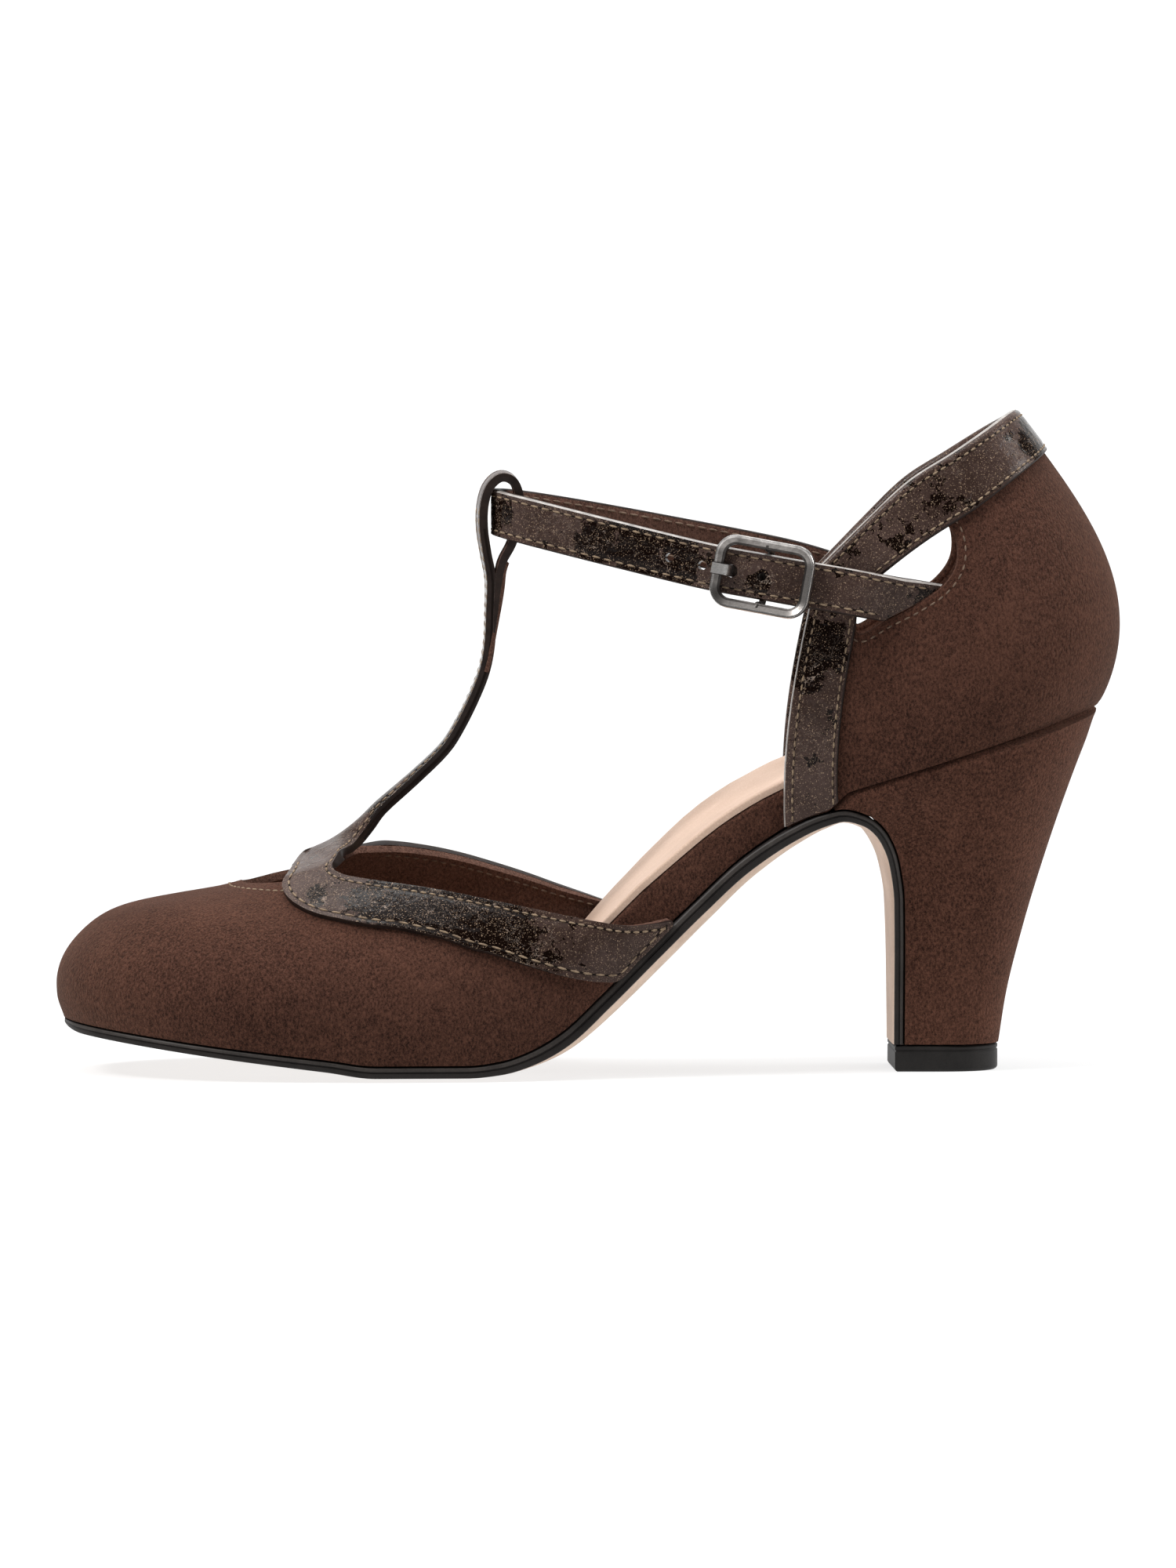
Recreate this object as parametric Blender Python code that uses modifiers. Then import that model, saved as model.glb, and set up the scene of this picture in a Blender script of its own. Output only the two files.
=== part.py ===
"""Left T-strap pump with a covered heel, as the separate pieces that a maker puts together.

The toe points to -X, the heel to +X, the outer side of the foot to -Y and +Z is up.
Sizes are in millimetres, and meshes are written in metres.
"""

import bisect
import math

import bmesh
import bpy
from mathutils import Matrix, Vector

MM = 0.001
GAP = 0.3
SIDES = ((-1, "outer"), (1, "inner"))

# Walls and sheets
VAMP_WALL = 1.8
QUARTER_WALL = 2.0
TRIM_THICK = 1.2
T_STRAP_THICK = 2.0
WING_THICK = 1.4
WING_GAP = 0.5
STRAP_THICK = 2.0
SOCK_THICK = 1.3
BOARD_DISH = 0.4

# Plan of the toe
TOE_X = -111.3
TOE_Y = 2.0
TOE_POWER = 2.12
TOE_END_X = -56.0

# Vamp
VAMP_REAR_X = 16.3
THROAT_FRONT_X = -73.5
KEYHOLE_RADIUS = 13.0
FAN_START_X = -70.0
FAN_END_X = -35.0
WING_START = 0.525
INNER_CORNER_BACK = 0.012
WING_WIDTH = 11.0
WING_WIDTH_REAR = 12.2

# Quarter
QUARTER_FRONT_X = 41.3
SEAT_REF_X = 51.7
SEAT_REF_Z = 59.4
SEAT_SLOPE = 0.322
BULGE_AT = 0.42
BULGE_POWER = 0.85
COLLAR_BAND = 10.0
FRONT_BAND = 10.8
INNER_BACK = 2.4
INNER_WINDOW_BACK = 2.8

# Straps and buckle
STRAP_WIDTH = 9.8
STRAP_HOLE = 1.9
BUCKLE_AT_X = 36.0
BUCKLE_LENGTH = 21.4
BUCKLE_HEIGHT = 15.6
BUCKLE_WIRE = 2.1
BUCKLE_CORNER = 3.4
BAR_WIRE = 1.5
BAR_DROP = 2.8
PRONG_WIRE = 1.4
PRONG_HOLE = 3.4
PRONG_HOLE_AT = -4.2

# Shift that puts the middle of the whole shoe's outline on the origin
CENTRE_SHIFT = (-0.11, 0.4, 0.0)

# Heel top piece
TOP_PIECE_HIGH = 5.5
TOP_PIECE_FRONT_X = 64.8


def monotone(keys, values, key):
    """Smooth reading of a column that never overshoots its rows."""
    last = len(keys) - 1
    if key <= keys[0]:
        return values[0]
    if key >= keys[last]:
        return values[last]
    i = 0
    while key > keys[i + 1]:
        i += 1

    def chord(k):
        return (values[k + 1] - values[k]) / (keys[k + 1] - keys[k])

    def slope(k):
        if k == 0 or k == last:
            return chord(min(k, last - 1))
        left = chord(k - 1)
        right = chord(k)
        if left * right <= 0.0:
            return 0.0
        return 2.0 * left * right / (left + right)

    wide = keys[i + 1] - keys[i]
    t = (key - keys[i]) / wide
    start = (1 + 2 * t) * (1 - t) ** 2 * values[i] + t * (1 - t) ** 2 * wide * slope(i)
    end = t * t * (3 - 2 * t) * values[i + 1] + t * t * (t - 1) * wide * slope(i + 1)
    return start + end


class Table:
    """Rows of named sizes. The key is the first column, or the run along two columns."""

    def __init__(self, names, rows, run=None):
        self.columns = {}
        for i, name in enumerate(names.split()):
            self.columns[name] = [float(row[i]) for row in rows]
        self.key = self.columns[names.split()[0]]
        if run:
            across = self.columns[run[0]]
            up = self.columns[run[1]]
            self.key = [0.0]
            for i in range(1, len(rows)):
                step = math.hypot(across[i] - across[i - 1], up[i] - up[i - 1])
                self.key.append(self.key[-1] + step)
        self.length = self.key[-1]

    def at(self, name, key):
        return monotone(self.key, self.columns[name], key)


# Upper face of the outsole from the toe, over the apex and down the heel breast
SOLE = Table(
    "x z lateral medial thick crown",
    (
        (-111.3, 11.2, 35.8, 35.8, 1.9, 0.5),
        (-98.0, 9.5, 35.8, 35.8, 2.0, 0.6),
        (-80.0, 7.2, 35.8, 35.8, 2.1, 0.7),
        (-56.0, 4.4, 35.8, 35.8, 2.3, 0.8),
        (-46.0, 3.2, 36.4, 35.6, 2.4, 0.8),
        (-27.0, 3.2, 36.2, 33.0, 2.4, 0.8),
        (-20.0, 4.0, 35.4, 31.2, 2.6, 0.8),
        (-14.0, 5.9, 34.2, 29.5, 2.8, 1.1),
        (-7.0, 9.8, 32.3, 27.5, 3.0, 1.8),
        (1.7, 17.6, 29.7, 25.3, 3.0, 2.4),
        (12.0, 27.6, 27.0, 23.4, 3.0, 2.5),
        (21.7, 37.0, 25.3, 22.6, 3.0, 2.4),
        (31.7, 46.0, 24.4, 22.6, 3.0, 2.1),
        (41.7, 52.4, 24.5, 23.6, 2.8, 1.6),
        (48.3, 55.3, 25.0, 24.5, 2.6, 1.0),
        (53.0, 56.3, 24.8, 24.6, 2.4, 0.6),
        (58.3, 54.8, 23.2, 23.0, 2.2, 0.7),
        (62.5, 51.0, 20.4, 20.4, 2.1, 0.9),
        (65.2, 44.5, 17.2, 17.2, 2.0, 0.8),
        (66.4, 36.0, 14.9, 14.9, 2.0, 0.6),
        (66.6, 22.0, 12.9, 12.9, 2.0, 0.4),
        (66.6, 5.8, 11.8, 11.8, 2.0, 0.2),
    ),
    run=("x", "z"),
)

# The same edge read against x, for the pieces that stand on the sole
SOLE_EDGE = Table(
    "x z lateral medial",
    [
        (x, z, lateral, medial)
        for x, z, lateral, medial in zip(
            SOLE.columns["x"][:16],
            SOLE.columns["z"][:16],
            SOLE.columns["lateral"][:16],
            SOLE.columns["medial"][:16],
        )
    ],
)

# Insole board: thickness square to the sole at its two edges
BOARD = Table(
    "x lateral medial",
    (
        (-112.0, 3.5, 3.5),
        (-60.0, 4.5, 4.5),
        (-20.0, 6.0, 5.6),
        (0.0, 8.8, 7.2),
        (15.0, 9.0, 9.0),
        (30.0, 8.0, 9.4),
        (41.0, 7.4, 9.2),
        (60.0, 4.5, 5.5),
        (110.0, 3.6, 3.6),
    ),
)

# Instep line of the last under the T-strap
RIDGE = Table(
    "x y z",
    (
        (-73.5, 2.6, 40.6),
        (-67.0, 2.8, 42.2),
        (-61.7, 2.8, 43.8),
        (-58.3, 2.8, 45.1),
        (-55.0, 2.8, 46.6),
        (-51.7, 2.7, 48.5),
        (-48.3, 2.6, 50.5),
        (-41.7, 2.4, 54.2),
        (-31.7, 2.2, 58.4),
        (-15.0, 2.0, 62.0),
        (17.0, 2.0, 64.0),
    ),
)

# Section of the last from the feather edge to the instep line: shares inward and upward
RIB = Table(
    "v toe_in toe_up side_in side_up",
    (
        (0.0, 0.0, 0.0, 0.0, 0.0),
        (0.14, -0.0485, 0.219, -0.030, 0.12),
        (0.28, -0.011, 0.428, -0.036, 0.25),
        (0.42, 0.0732, 0.584, -0.005, 0.38),
        (0.56, 0.2325, 0.764, 0.09, 0.51),
        (0.70, 0.475, 0.842, 0.24, 0.66),
        (0.82, 0.732, 0.895, 0.47, 0.83),
        (0.92, 0.87, 0.945, 0.73, 0.945),
        (1.0, 1.0, 1.0, 1.0, 1.0),
    ),
)

# Height of the vamp's top edge on each side
TOPLINE = Table(
    "x lateral medial",
    (
        (-73.5, 39.2, 39.6),
        (-66.0, 39.1, 41.3),
        (-60.0, 39.5, 42.2),
        (-54.0, 40.6, 43.6),
        (-48.3, 41.1, 46.6),
        (-41.7, 40.5, 46.5),
        (-31.7, 39.2, 45.2),
        (-15.0, 36.0, 40.7),
        (-1.7, 33.5, 36.2),
        (8.3, 32.4, 33.6),
        (16.5, 33.4, 33.4),
    ),
)

# Heel cup: half sections at the seat, at the widest level and at the collar
CUP = (
    "seat_x seat_y mid_x mid_y collar_x collar_y collar_z",
    (
        (41.3, 22.3, 41.9, 24.6, 47.6, 23.6, 104.6),
        (55.0, 25.0, 57.0, 27.2, 58.2, 24.3, 115.0),
        (68.0, 27.5, 72.0, 29.4, 68.0, 24.6, 124.0),
        (82.0, 27.3, 88.0, 29.2, 77.3, 22.8, 129.8),
        (95.0, 22.4, 101.2, 23.4, 85.2, 17.6, 134.8),
        (104.8, 12.4, 109.5, 12.8, 89.9, 9.4, 137.7),
        (108.7, 0.0, 112.3, 0.0, 91.5, 0.0, 138.6),
    ),
)

# Window in each side of the heel cup, in side view
WINDOW = (
    (56.6, 102.6),
    (63.4, 108.6),
    (69.6, 113.8),
    (74.2, 116.2),
    (76.6, 113.4),
    (76.6, 108.2),
    (73.4, 103.4),
    (67.8, 99.6),
    (61.6, 96.4),
    (56.4, 93.4),
    (55.0, 95.4),
)

# Heel: its back line and greatest half width against the share of its height
HEEL = Table(
    "share back_x back_z half",
    (
        (0.0, 87.6, 5.8, 12.2),
        (0.15, 89.2, 16.0, 13.0),
        (0.35, 92.9, 31.0, 15.4),
        (0.55, 97.4, 46.0, 19.0),
        (0.75, 102.5, 61.0, 23.6),
        (0.9, 106.6, 71.6, 26.8),
        (1.0, 108.8, 76.4, 28.0),
    ),
)

# Outer face of the T-strap from the bridge, up the instep, round the loop and down its tail
SPINE = (
    (-60.6, 46.2),
    (-58.3, 47.3),
    (-55.0, 48.8),
    (-51.7, 50.9),
    (-48.3, 53.7),
    (-45.0, 57.0),
    (-38.3, 62.7),
    (-31.7, 68.9),
    (-28.3, 73.9),
    (-25.0, 80.4),
    (-23.0, 85.6),
    (-22.0, 91.0),
    (-21.7, 97.3),
    (-21.6, 104.0),
    (-22.5, 109.5),
    (-23.3, 115.0),
    (-23.2, 120.0),
    (-22.0, 124.2),
    (-19.6, 126.7),
    (-17.0, 127.0),
    (-14.7, 125.3),
    (-13.6, 121.6),
    (-13.9, 116.5),
    (-15.3, 111.6),
    (-17.1, 107.4),
    (-17.6, 102.5),
    (-17.7, 97.0),
    (-17.9, 93.0),
)

# Ankle strap from its outer end, round the front and to its inner end
STRAP = (
    "x y_low y_high z",
    (
        (80.0, -25.2, -25.4, 97.9),
        (73.0, -25.5, -26.2, 99.2),
        (68.0, -25.8, -27.6, 100.1),
        (64.0, -26.2, -29.0, 100.8),
        (60.0, -28.4, -30.0, 101.5),
        (56.0, -30.2, -29.8, 102.2),
        (51.0, -30.3, -29.2, 103.1),
        (45.0, -29.4, -28.5, 104.1),
        (36.0, -27.6, -26.9, 105.7),
        (24.0, -24.2, -23.8, 107.9),
        (7.5, -18.9, -18.7, 111.8),
        (-5.6, -13.8, -13.6, 115.0),
        (-14.8, -8.2, -8.0, 117.3),
        (-19.5, 0.4, 0.4, 118.6),
        (-14.8, 9.0, 8.8, 118.1),
        (-5.6, 14.4, 14.2, 116.6),
        (7.5, 19.4, 19.2, 114.2),
        (24.0, 24.4, 24.0, 111.0),
        (36.0, 27.6, 26.9, 108.6),
        (45.0, 29.4, 28.4, 106.6),
        (53.0, 30.6, 29.7, 104.6),
        (58.5, 30.4, 30.1, 102.8),
        (62.8, 28.9, 30.2, 101.4),
        (66.8, 26.8, 30.0, 100.2),
        (70.8, 25.9, 28.4, 99.2),
        (75.8, 25.5, 26.2, 98.0),
        (82.8, 25.2, 25.4, 96.6),
    ),
)
STRAP_HOLES_X = (16.6, 23.4)

# Front corner of the T-piece's wing in side view: outer edge and inner edge
WING_CORNER = (
    (-54.0, 33.5, -50.0, 41.5),
    (-58.3, 34.4, -51.8, 41.8),
    (-61.6, 35.7, -53.0, 42.2),
    (-63.8, 37.2, -53.8, 42.6),
    (-64.8, 38.8, -54.2, 43.0),
    (-64.6, 40.2, -54.3, 43.4),
    (-63.6, 41.4, -54.2, 43.9),
)

# Inner edge of the bridge beside the foot of the T-strap, in side view
BRIDGE_EDGE = (
    (-53.9, 44.4),
    (-53.3, 45.2),
    (-52.4, 46.3),
)

# T-strap along the points of its spine: half width and how far its edges drop
STRAP_SHAPE = Table(
    "at half drop thick",
    (
        (3.0, 7.4, 3.0, 2.0),
        (4.0, 5.9, 2.0, 2.0),
        (5.0, 5.0, 1.2, 2.0),
        (6.0, 4.7, 0.8, 2.0),
        (8.0, 4.5, 0.4, 2.0),
        (12.0, 4.4, 0.0, 2.0),
        (14.0, 4.4, 0.0, 1.6),
        (27.0, 4.4, 0.0, 1.6),
    ),
)


def smooth(t):
    t = min(1.0, max(0.0, t))
    return t * t * (3.0 - 2.0 * t)


def mix(a, b, t):
    return a + (b - a) * t


def curve_at(points, key, closed=False):
    """Point of a smooth curve through the points, with key running over their numbers."""
    count = len(points)
    if not closed:
        key = min(max(key, 0.0), count - 1.0)
    i = math.floor(key)
    if not closed:
        i = min(i, count - 2)
    t = key - i

    def take(k):
        if closed:
            return points[k % count]
        if k < 0:
            return points[0] * 2.0 - points[1]
        if k > count - 1:
            return points[-1] * 2.0 - points[-2]
        return points[k]

    a, b, c, d = take(i - 1), take(i), take(i + 1), take(i + 2)
    straight = b * 2.0 + (c - a) * t
    bent = (a * 2.0 - b * 5.0 + c * 4.0 - d) * t * t + (b * 3.0 - a - c * 3.0 + d) * t**3
    return (straight + bent) * 0.5


def even_keys(points, count, closed=False):
    """Keys that space a smooth curve evenly along its length."""
    spans = len(points) if closed else len(points) - 1
    fine = [spans * i / (spans * 24) for i in range(spans * 24 + 1)]
    runs = [0.0]
    before = curve_at(points, 0.0, closed)
    for key in fine[1:]:
        here = curve_at(points, key, closed)
        runs.append(runs[-1] + (here - before).length)
        before = here
    steps = count if closed else count - 1
    keys = []
    j = 0
    for i in range(count):
        want = runs[-1] * i / steps
        while j < len(runs) - 2 and runs[j + 1] < want:
            j += 1
        share = (want - runs[j]) / max(1e-9, runs[j + 1] - runs[j])
        keys.append(mix(fine[j], fine[j + 1], share))
    return keys


def slope_normal(before, after):
    """Upward normal, in side view, of a line that runs from one point to another."""
    run = Vector((after.x - before.x, 0.0, after.z - before.z)).normalized()
    return Vector((-run.z, 0.0, run.x))


def sole_edge(x, side):
    """Distance of the sole's edge from the long axis, side -1 outer and 1 inner."""
    name = "lateral" if side < 0 else "medial"
    if x >= TOE_END_X:
        return SOLE_EDGE.at(name, x)
    full = SOLE_EDGE.at(name, TOE_END_X) - side * TOE_Y
    share = min(1.0, (TOE_END_X - x) / (TOE_END_X - TOE_X))
    return side * TOE_Y + full * (1.0 - share**TOE_POWER) ** (1.0 / TOE_POWER)


def seat_z(x):
    return SEAT_REF_Z + (x - SEAT_REF_X) * SEAT_SLOPE


def last_z(x):
    """Height of the feather edge: just over the sole, then over the heel seat."""
    low = SOLE_EDGE.at("z", x) + GAP
    return mix(low, seat_z(x), smooth((x - 49.0) / 5.5))


# Heel cup surface


def cup_lines():
    """Lines of the heel cup from the outer front, round the back, to the inner front."""
    seat, mid, collar = [], [], []
    for seat_x, seat_y, mid_x, mid_y, collar_x, collar_y, collar_z in CUP[1]:
        seat.append(Vector((seat_x, -seat_y, 0.0)))
        mid.append(Vector((mid_x, -mid_y, 0.0)))
        collar.append(Vector((collar_x, -collar_y, collar_z)))
    back = len(seat) - 1
    row_run = seat[1].x - seat[0].x
    for i in reversed(range(back)):
        share = INNER_BACK * (1.0 - i / back)
        for line in (seat, mid):
            line.append(curve_at(line[: back + 1], i + share / row_run) * Vector((1.0, -1.0, 1.0)))
        collar.append(collar[i] * Vector((1.0, -1.0, 1.0)) + Vector((share, 0.0, 0.0)))
    return seat, mid, collar


SEAT_LINE, MID_LINE, COLLAR_LINE = cup_lines()
CUP_LAST = len(SEAT_LINE) - 1


def cup(u, v):
    """Outer face of the heel cup: u 0 to 1 from the outer front edge round to the inner one."""
    key = u * CUP_LAST
    seat = curve_at(SEAT_LINE, key)
    seat.z = last_z(seat.x)
    collar = curve_at(COLLAR_LINE, key)
    mid = curve_at(MID_LINE, key)
    bulge = mid - seat.lerp(collar, BULGE_AT)
    bulge.z = 0.0
    peak = math.sin(math.pi * BULGE_AT**BULGE_POWER)
    share = math.sin(math.pi * min(1.0, max(0.0, v)) ** BULGE_POWER) / peak
    return seat.lerp(collar, v) + bulge * share


def surface_normal(surface, u, v, step=0.004):
    u0, u1 = max(0.0, u - step), min(1.0, u + step)
    v0, v1 = max(0.0, v - step), min(1.0, v + step)
    along = surface(u1, v) - surface(u0, v)
    up = surface(u, v1) - surface(u, v0)
    return along.cross(up).normalized()


def cup_off(u, v, off):
    return cup(u, v) + surface_normal(cup, u, v) * off


def cup_rise(u):
    """Length of the heel cup's wall from seat to collar at u."""
    points = [cup(u, i / 12.0) for i in range(13)]
    return sum((b - a).length for a, b in zip(points, points[1:]))


def cup_round(v):
    points = [cup(i / 48.0, v) for i in range(49)]
    return sum((b - a).length for a, b in zip(points, points[1:]))


# Last surface under the vamp and the T-strap


def feather_points(side):
    """Feather edge from the toe to the rear end of the vamp, evenly spaced points."""
    count = 160
    points = []
    for i in range(count + 1):
        x = TOE_X + (VAMP_REAR_X - TOE_X) * (i / count) ** 2
        points.append(Vector((x, side * sole_edge(x, side), last_z(x))))
    return points


FEATHER = {side: feather_points(side) for side in (-1, 1)}


def runs_of(points):
    runs = [0.0]
    for a, b in zip(points, points[1:]):
        runs.append(runs[-1] + (b - a).length)
    return runs


FEATHER_RUNS = {side: runs_of(FEATHER[side]) for side in (-1, 1)}


def feather_at(side, share):
    points = FEATHER[side]
    runs = FEATHER_RUNS[side]
    want = runs[-1] * share
    i = min(max(bisect.bisect_left(runs, want) - 1, 0), len(points) - 2)
    t = (want - runs[i]) / (runs[i + 1] - runs[i])
    return points[i].lerp(points[i + 1], t)


def ridge_at(x):
    return Vector((x, RIDGE.at("y", x), RIDGE.at("z", x)))


def last_rib(u):
    """Foot and top of the rib at u, -1 outer rear, 0 toe, 1 inner rear."""
    side = -1 if u < 0 else 1
    foot = feather_at(side, abs(u))
    reach = (FAN_END_X - FAN_START_X) / (FAN_END_X - TOE_X)
    x = foot.x
    if foot.x < FAN_END_X:
        x = FAN_START_X + (foot.x - TOE_X) * reach
    toe = smooth((-55.0 - foot.x) / 50.0)
    return foot, ridge_at(x), toe


def last(u, v):
    """Outer face of the last: v 0 at the feather edge, 1 on the instep line."""
    foot, top, toe = last_rib(u)
    inward = mix(RIB.at("side_in", v), RIB.at("toe_in", v), toe)
    upward = mix(RIB.at("side_up", v), RIB.at("toe_up", v), toe)
    point = foot.lerp(top, inward)
    point.z = mix(foot.z, top.z, upward)
    return point


def last_normal(u, v):
    step = 0.006
    u0, u1 = max(-1.0, u - step), min(1.0, u + step)
    v0, v1 = max(0.0, v - step), min(1.0, v + step)
    along = last(u1, v) - last(u0, v)
    up = last(u, v1) - last(u, v0)
    normal = up.cross(along)
    if normal.length < 1e-9:
        return Vector((0.0, 0.0, 1.0))
    return normal.normalized()


def last_off(u, v, off):
    return last(u, v) + last_normal(u, v) * off


def topline_v(u):
    """Where the rib at u meets the vamp's top edge."""
    name = "lateral" if u < 0 else "medial"
    low, high = 0.0, 1.0
    for _ in range(26):
        v = 0.5 * (low + high)
        point = last(u, v)
        across = point.y - RIDGE.at("y", THROAT_FRONT_X)
        front = THROAT_FRONT_X + across * across / (2.0 * KEYHOLE_RADIUS)
        if point.x < front or point.z < TOPLINE.at(name, point.x):
            low = v
        else:
            high = v
    return max(low, 0.045)


# Mesh helpers


def mesh_object(name, bm, colour, roughness, metallic=0.0):
    mesh = bpy.data.meshes.new(name)
    bm.to_mesh(mesh)
    bm.free()
    return finish_object(name, mesh, colour, roughness, metallic)


def finish_object(name, data, colour, roughness, metallic=0.0):
    obj = bpy.data.objects.new(name, data)
    material = bpy.data.materials.new(name)
    material.use_nodes = True
    shader = material.node_tree.nodes["Principled BSDF"]
    shader.inputs["Base Color"].default_value = (*colour, 1.0)
    shader.inputs["Roughness"].default_value = roughness
    shader.inputs["Metallic"].default_value = metallic
    data.materials.append(material)
    PARTS.objects.link(obj)
    return obj


def grid_faces(bm, rows, closed=False, flip=False):
    """Quads between rows of points, each row a list of equal length."""
    verts = [[bm.verts.new(point * MM) for point in row] for row in rows]
    wide = len(rows[0])
    for below, above in zip(verts, verts[1:]):
        for i in range(wide if closed else wide - 1):
            j = (i + 1) % wide
            ring = [below[i], below[j], above[j], above[i]]
            bm.faces.new(reversed(ring) if flip else ring)
    return verts


def loft(name, rings, colour, roughness):
    """Closed body through rings of points, with a flat cap on each end."""
    bm = bmesh.new()
    verts = grid_faces(bm, rings, closed=True)
    bm.faces.new(reversed(verts[0]))
    bm.faces.new(verts[-1])
    bmesh.ops.recalc_face_normals(bm, faces=bm.faces)
    return mesh_object(name, bm, colour, roughness)


def add_solidify(obj, thick, offset=-1.0):
    wall = obj.modifiers.new("wall", "SOLIDIFY")
    wall.thickness = thick * MM
    wall.offset = offset
    wall.use_even_offset = True
    wall.use_quality_normals = True


def add_boolean(obj, cutter, operation="DIFFERENCE"):
    cut = obj.modifiers.new("cut", "BOOLEAN")
    cut.operation = operation
    cut.solver = "EXACT"
    cut.object = cutter


def cutter_object(name, bm):
    mesh = bpy.data.meshes.new(name)
    bm.to_mesh(mesh)
    bm.free()
    obj = bpy.data.objects.new(name, mesh)
    obj.hide_render = True
    obj.display_type = "WIRE"
    CUTTERS.objects.link(obj)
    return obj


def prism(name, outline, y0, y1):
    """Cutter with a side-view outline, running across the shoe."""
    bm = bmesh.new()
    face = bm.faces.new([bm.verts.new(Vector((x, y0, z)) * MM) for x, z in outline])
    made = bmesh.ops.extrude_face_region(bm, geom=[face])
    moved = [item for item in made["geom"] if isinstance(item, bmesh.types.BMVert)]
    bmesh.ops.translate(bm, verts=moved, vec=Vector((0.0, y1 - y0, 0.0)) * MM)
    bmesh.ops.recalc_face_normals(bm, faces=bm.faces)
    return cutter_object(name, bm)


# Pieces


def sole_point(run):
    return Vector((SOLE.at("x", run), 0.0, SOLE.at("z", run)))


def sole_normal(run):
    return slope_normal(sole_point(max(0.0, run - 0.4)), sole_point(min(SOLE.length, run + 0.4)))


def sole_ring(run):
    """Section of the outsole: flat upper face, shaped edge and crowned bottom."""
    top = sole_point(run)
    normal = sole_normal(run)
    halves = {}
    for side, name in ((-1, "lateral"), (1, "medial")):
        halves[side] = SOLE.at(name, run)
        if top.x < TOE_END_X:
            halves[side] = sole_edge(top.x, side)
    thick = SOLE.at("thick", run)
    crown = SOLE.at("crown", run)
    centre = 0.5 * (halves[1] - halves[-1])
    half = 0.5 * (halves[1] + halves[-1])
    lip = min(0.5, 0.25 * half)
    ring = []
    for share in (-1.0, -0.4, 0.4, 1.0):
        ring.append(top + Vector((0.0, centre + share * (half - lip), 0.0)))
    ring.append(top + Vector((0.0, centre + half, 0.0)) - normal * thick * 0.4)
    for share in (1.0, 0.72, 0.36, -0.36, -0.72, -1.0):
        deep = thick + crown * (1.0 - share**6)
        ring.append(top + Vector((0.0, centre + share * (half - lip), 0.0)) - normal * deep)
    ring.append(top + Vector((0.0, centre - half, 0.0)) - normal * thick * 0.4)
    return ring


def build_outsole():
    toe_run = SOLE.key[3]
    runs = [toe_run * share for share in (0.004, 0.03, 0.08, 0.16, 0.27, 0.42, 0.6, 0.8)]
    for i in range(3, len(SOLE.key) - 1):
        steps = 1 if i == 4 else 2
        for k in range(steps):
            runs.append(mix(SOLE.key[i], SOLE.key[i + 1], k / steps))
    runs.append(SOLE.length)
    return loft("outsole", [sole_ring(run) for run in runs], (0.03, 0.027, 0.025), 0.5)


def cup_half_at(x, inset=0.0):
    """Half width of the heel seat at x, inside its edge by the inset."""
    keys, halves = [], []
    for k in range(121):
        here = curve_at(SEAT_LINE, k * 0.05)
        run = curve_at(SEAT_LINE, k * 0.05 + 0.02) - curve_at(SEAT_LINE, k * 0.05 - 0.02)
        run.z = 0.0
        run.normalize()
        keys.append(here.x - run.y * inset)
        halves.append(-here.y - run.x * inset)
    return monotone(keys, halves, x)


def heel_outline(front, back, front_half, half, sides):
    """D-shaped ring from the outer front corner round the back to the inner front corner."""
    widest = 0.45
    ring = []
    for share in sides:
        if share < widest:
            wide = mix(front_half, half, smooth(share / widest))
        else:
            wide = half * (1.0 - ((share - widest) / (1.0 - widest)) ** 2.4) ** (1.0 / 2.4)
        ring.append((front.lerp(back, share), wide))
    outer = [point + Vector((0.0, -wide, 0.0)) for point, wide in ring]
    inner = [point + Vector((0.0, wide, 0.0)) for point, wide in reversed(ring[:-1])]
    return outer + inner


HEEL_SHARES = (0.0, 0.12, 0.26, 0.42, 0.58, 0.72, 0.83, 0.91, 0.97, 1.0)


def heel_front(share):
    """Point of the heel's front line, just behind the outsole's flap."""
    run = mix(SOLE.length, SOLE.key[15] - 1.8, share)
    return sole_point(run) + sole_normal(run) * GAP, SOLE.at("lateral", run)


def build_heel():
    rings = []
    for share in (0.0, 0.1, 0.22, 0.35, 0.48, 0.6, 0.7, 0.79, 0.87, 0.94, 1.0):
        front, front_half = heel_front(share)
        back = Vector((HEEL.at("back_x", share), 0.0, HEEL.at("back_z", share)))
        rings.append(heel_outline(front, back, front_half, HEEL.at("half", share), HEEL_SHARES))
    seat = []
    front_x = heel_front(1.0)[0].x
    for share in HEEL_SHARES:
        x = mix(front_x, 108.7, share)
        seat.append((Vector((x, 0.0, last_z(x) - GAP)), max(0.0, cup_half_at(x) + 0.1)))
    top = [point + Vector((0.0, -wide, 0.0)) for point, wide in seat]
    top += [point + Vector((0.0, wide, 0.0)) for point, wide in reversed(seat[:-1])]
    rings.append(top)
    return loft("heel", rings, (0.075, 0.032, 0.022), 0.95)


def build_top_piece():
    rings = []
    front = Vector((TOP_PIECE_FRONT_X, 0.0, 0.0))
    back = Vector((87.4, 0.0, 0.0))
    for z, inset in ((0.0, 0.5), (0.6, 0.0), (TOP_PIECE_HIGH - 0.3, 0.0), (TOP_PIECE_HIGH, 0.3)):
        lift = Vector((0.0, 0.0, z))
        near = front + lift + Vector((inset, 0.0, 0.0))
        far = back + lift - Vector((inset, 0.0, 0.0))
        rings.append(heel_outline(near, far, 11.7 - inset, 12.1 - inset, HEEL_SHARES))
    return loft("heel_top_piece", rings, (0.025, 0.023, 0.022), 0.6)


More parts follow.
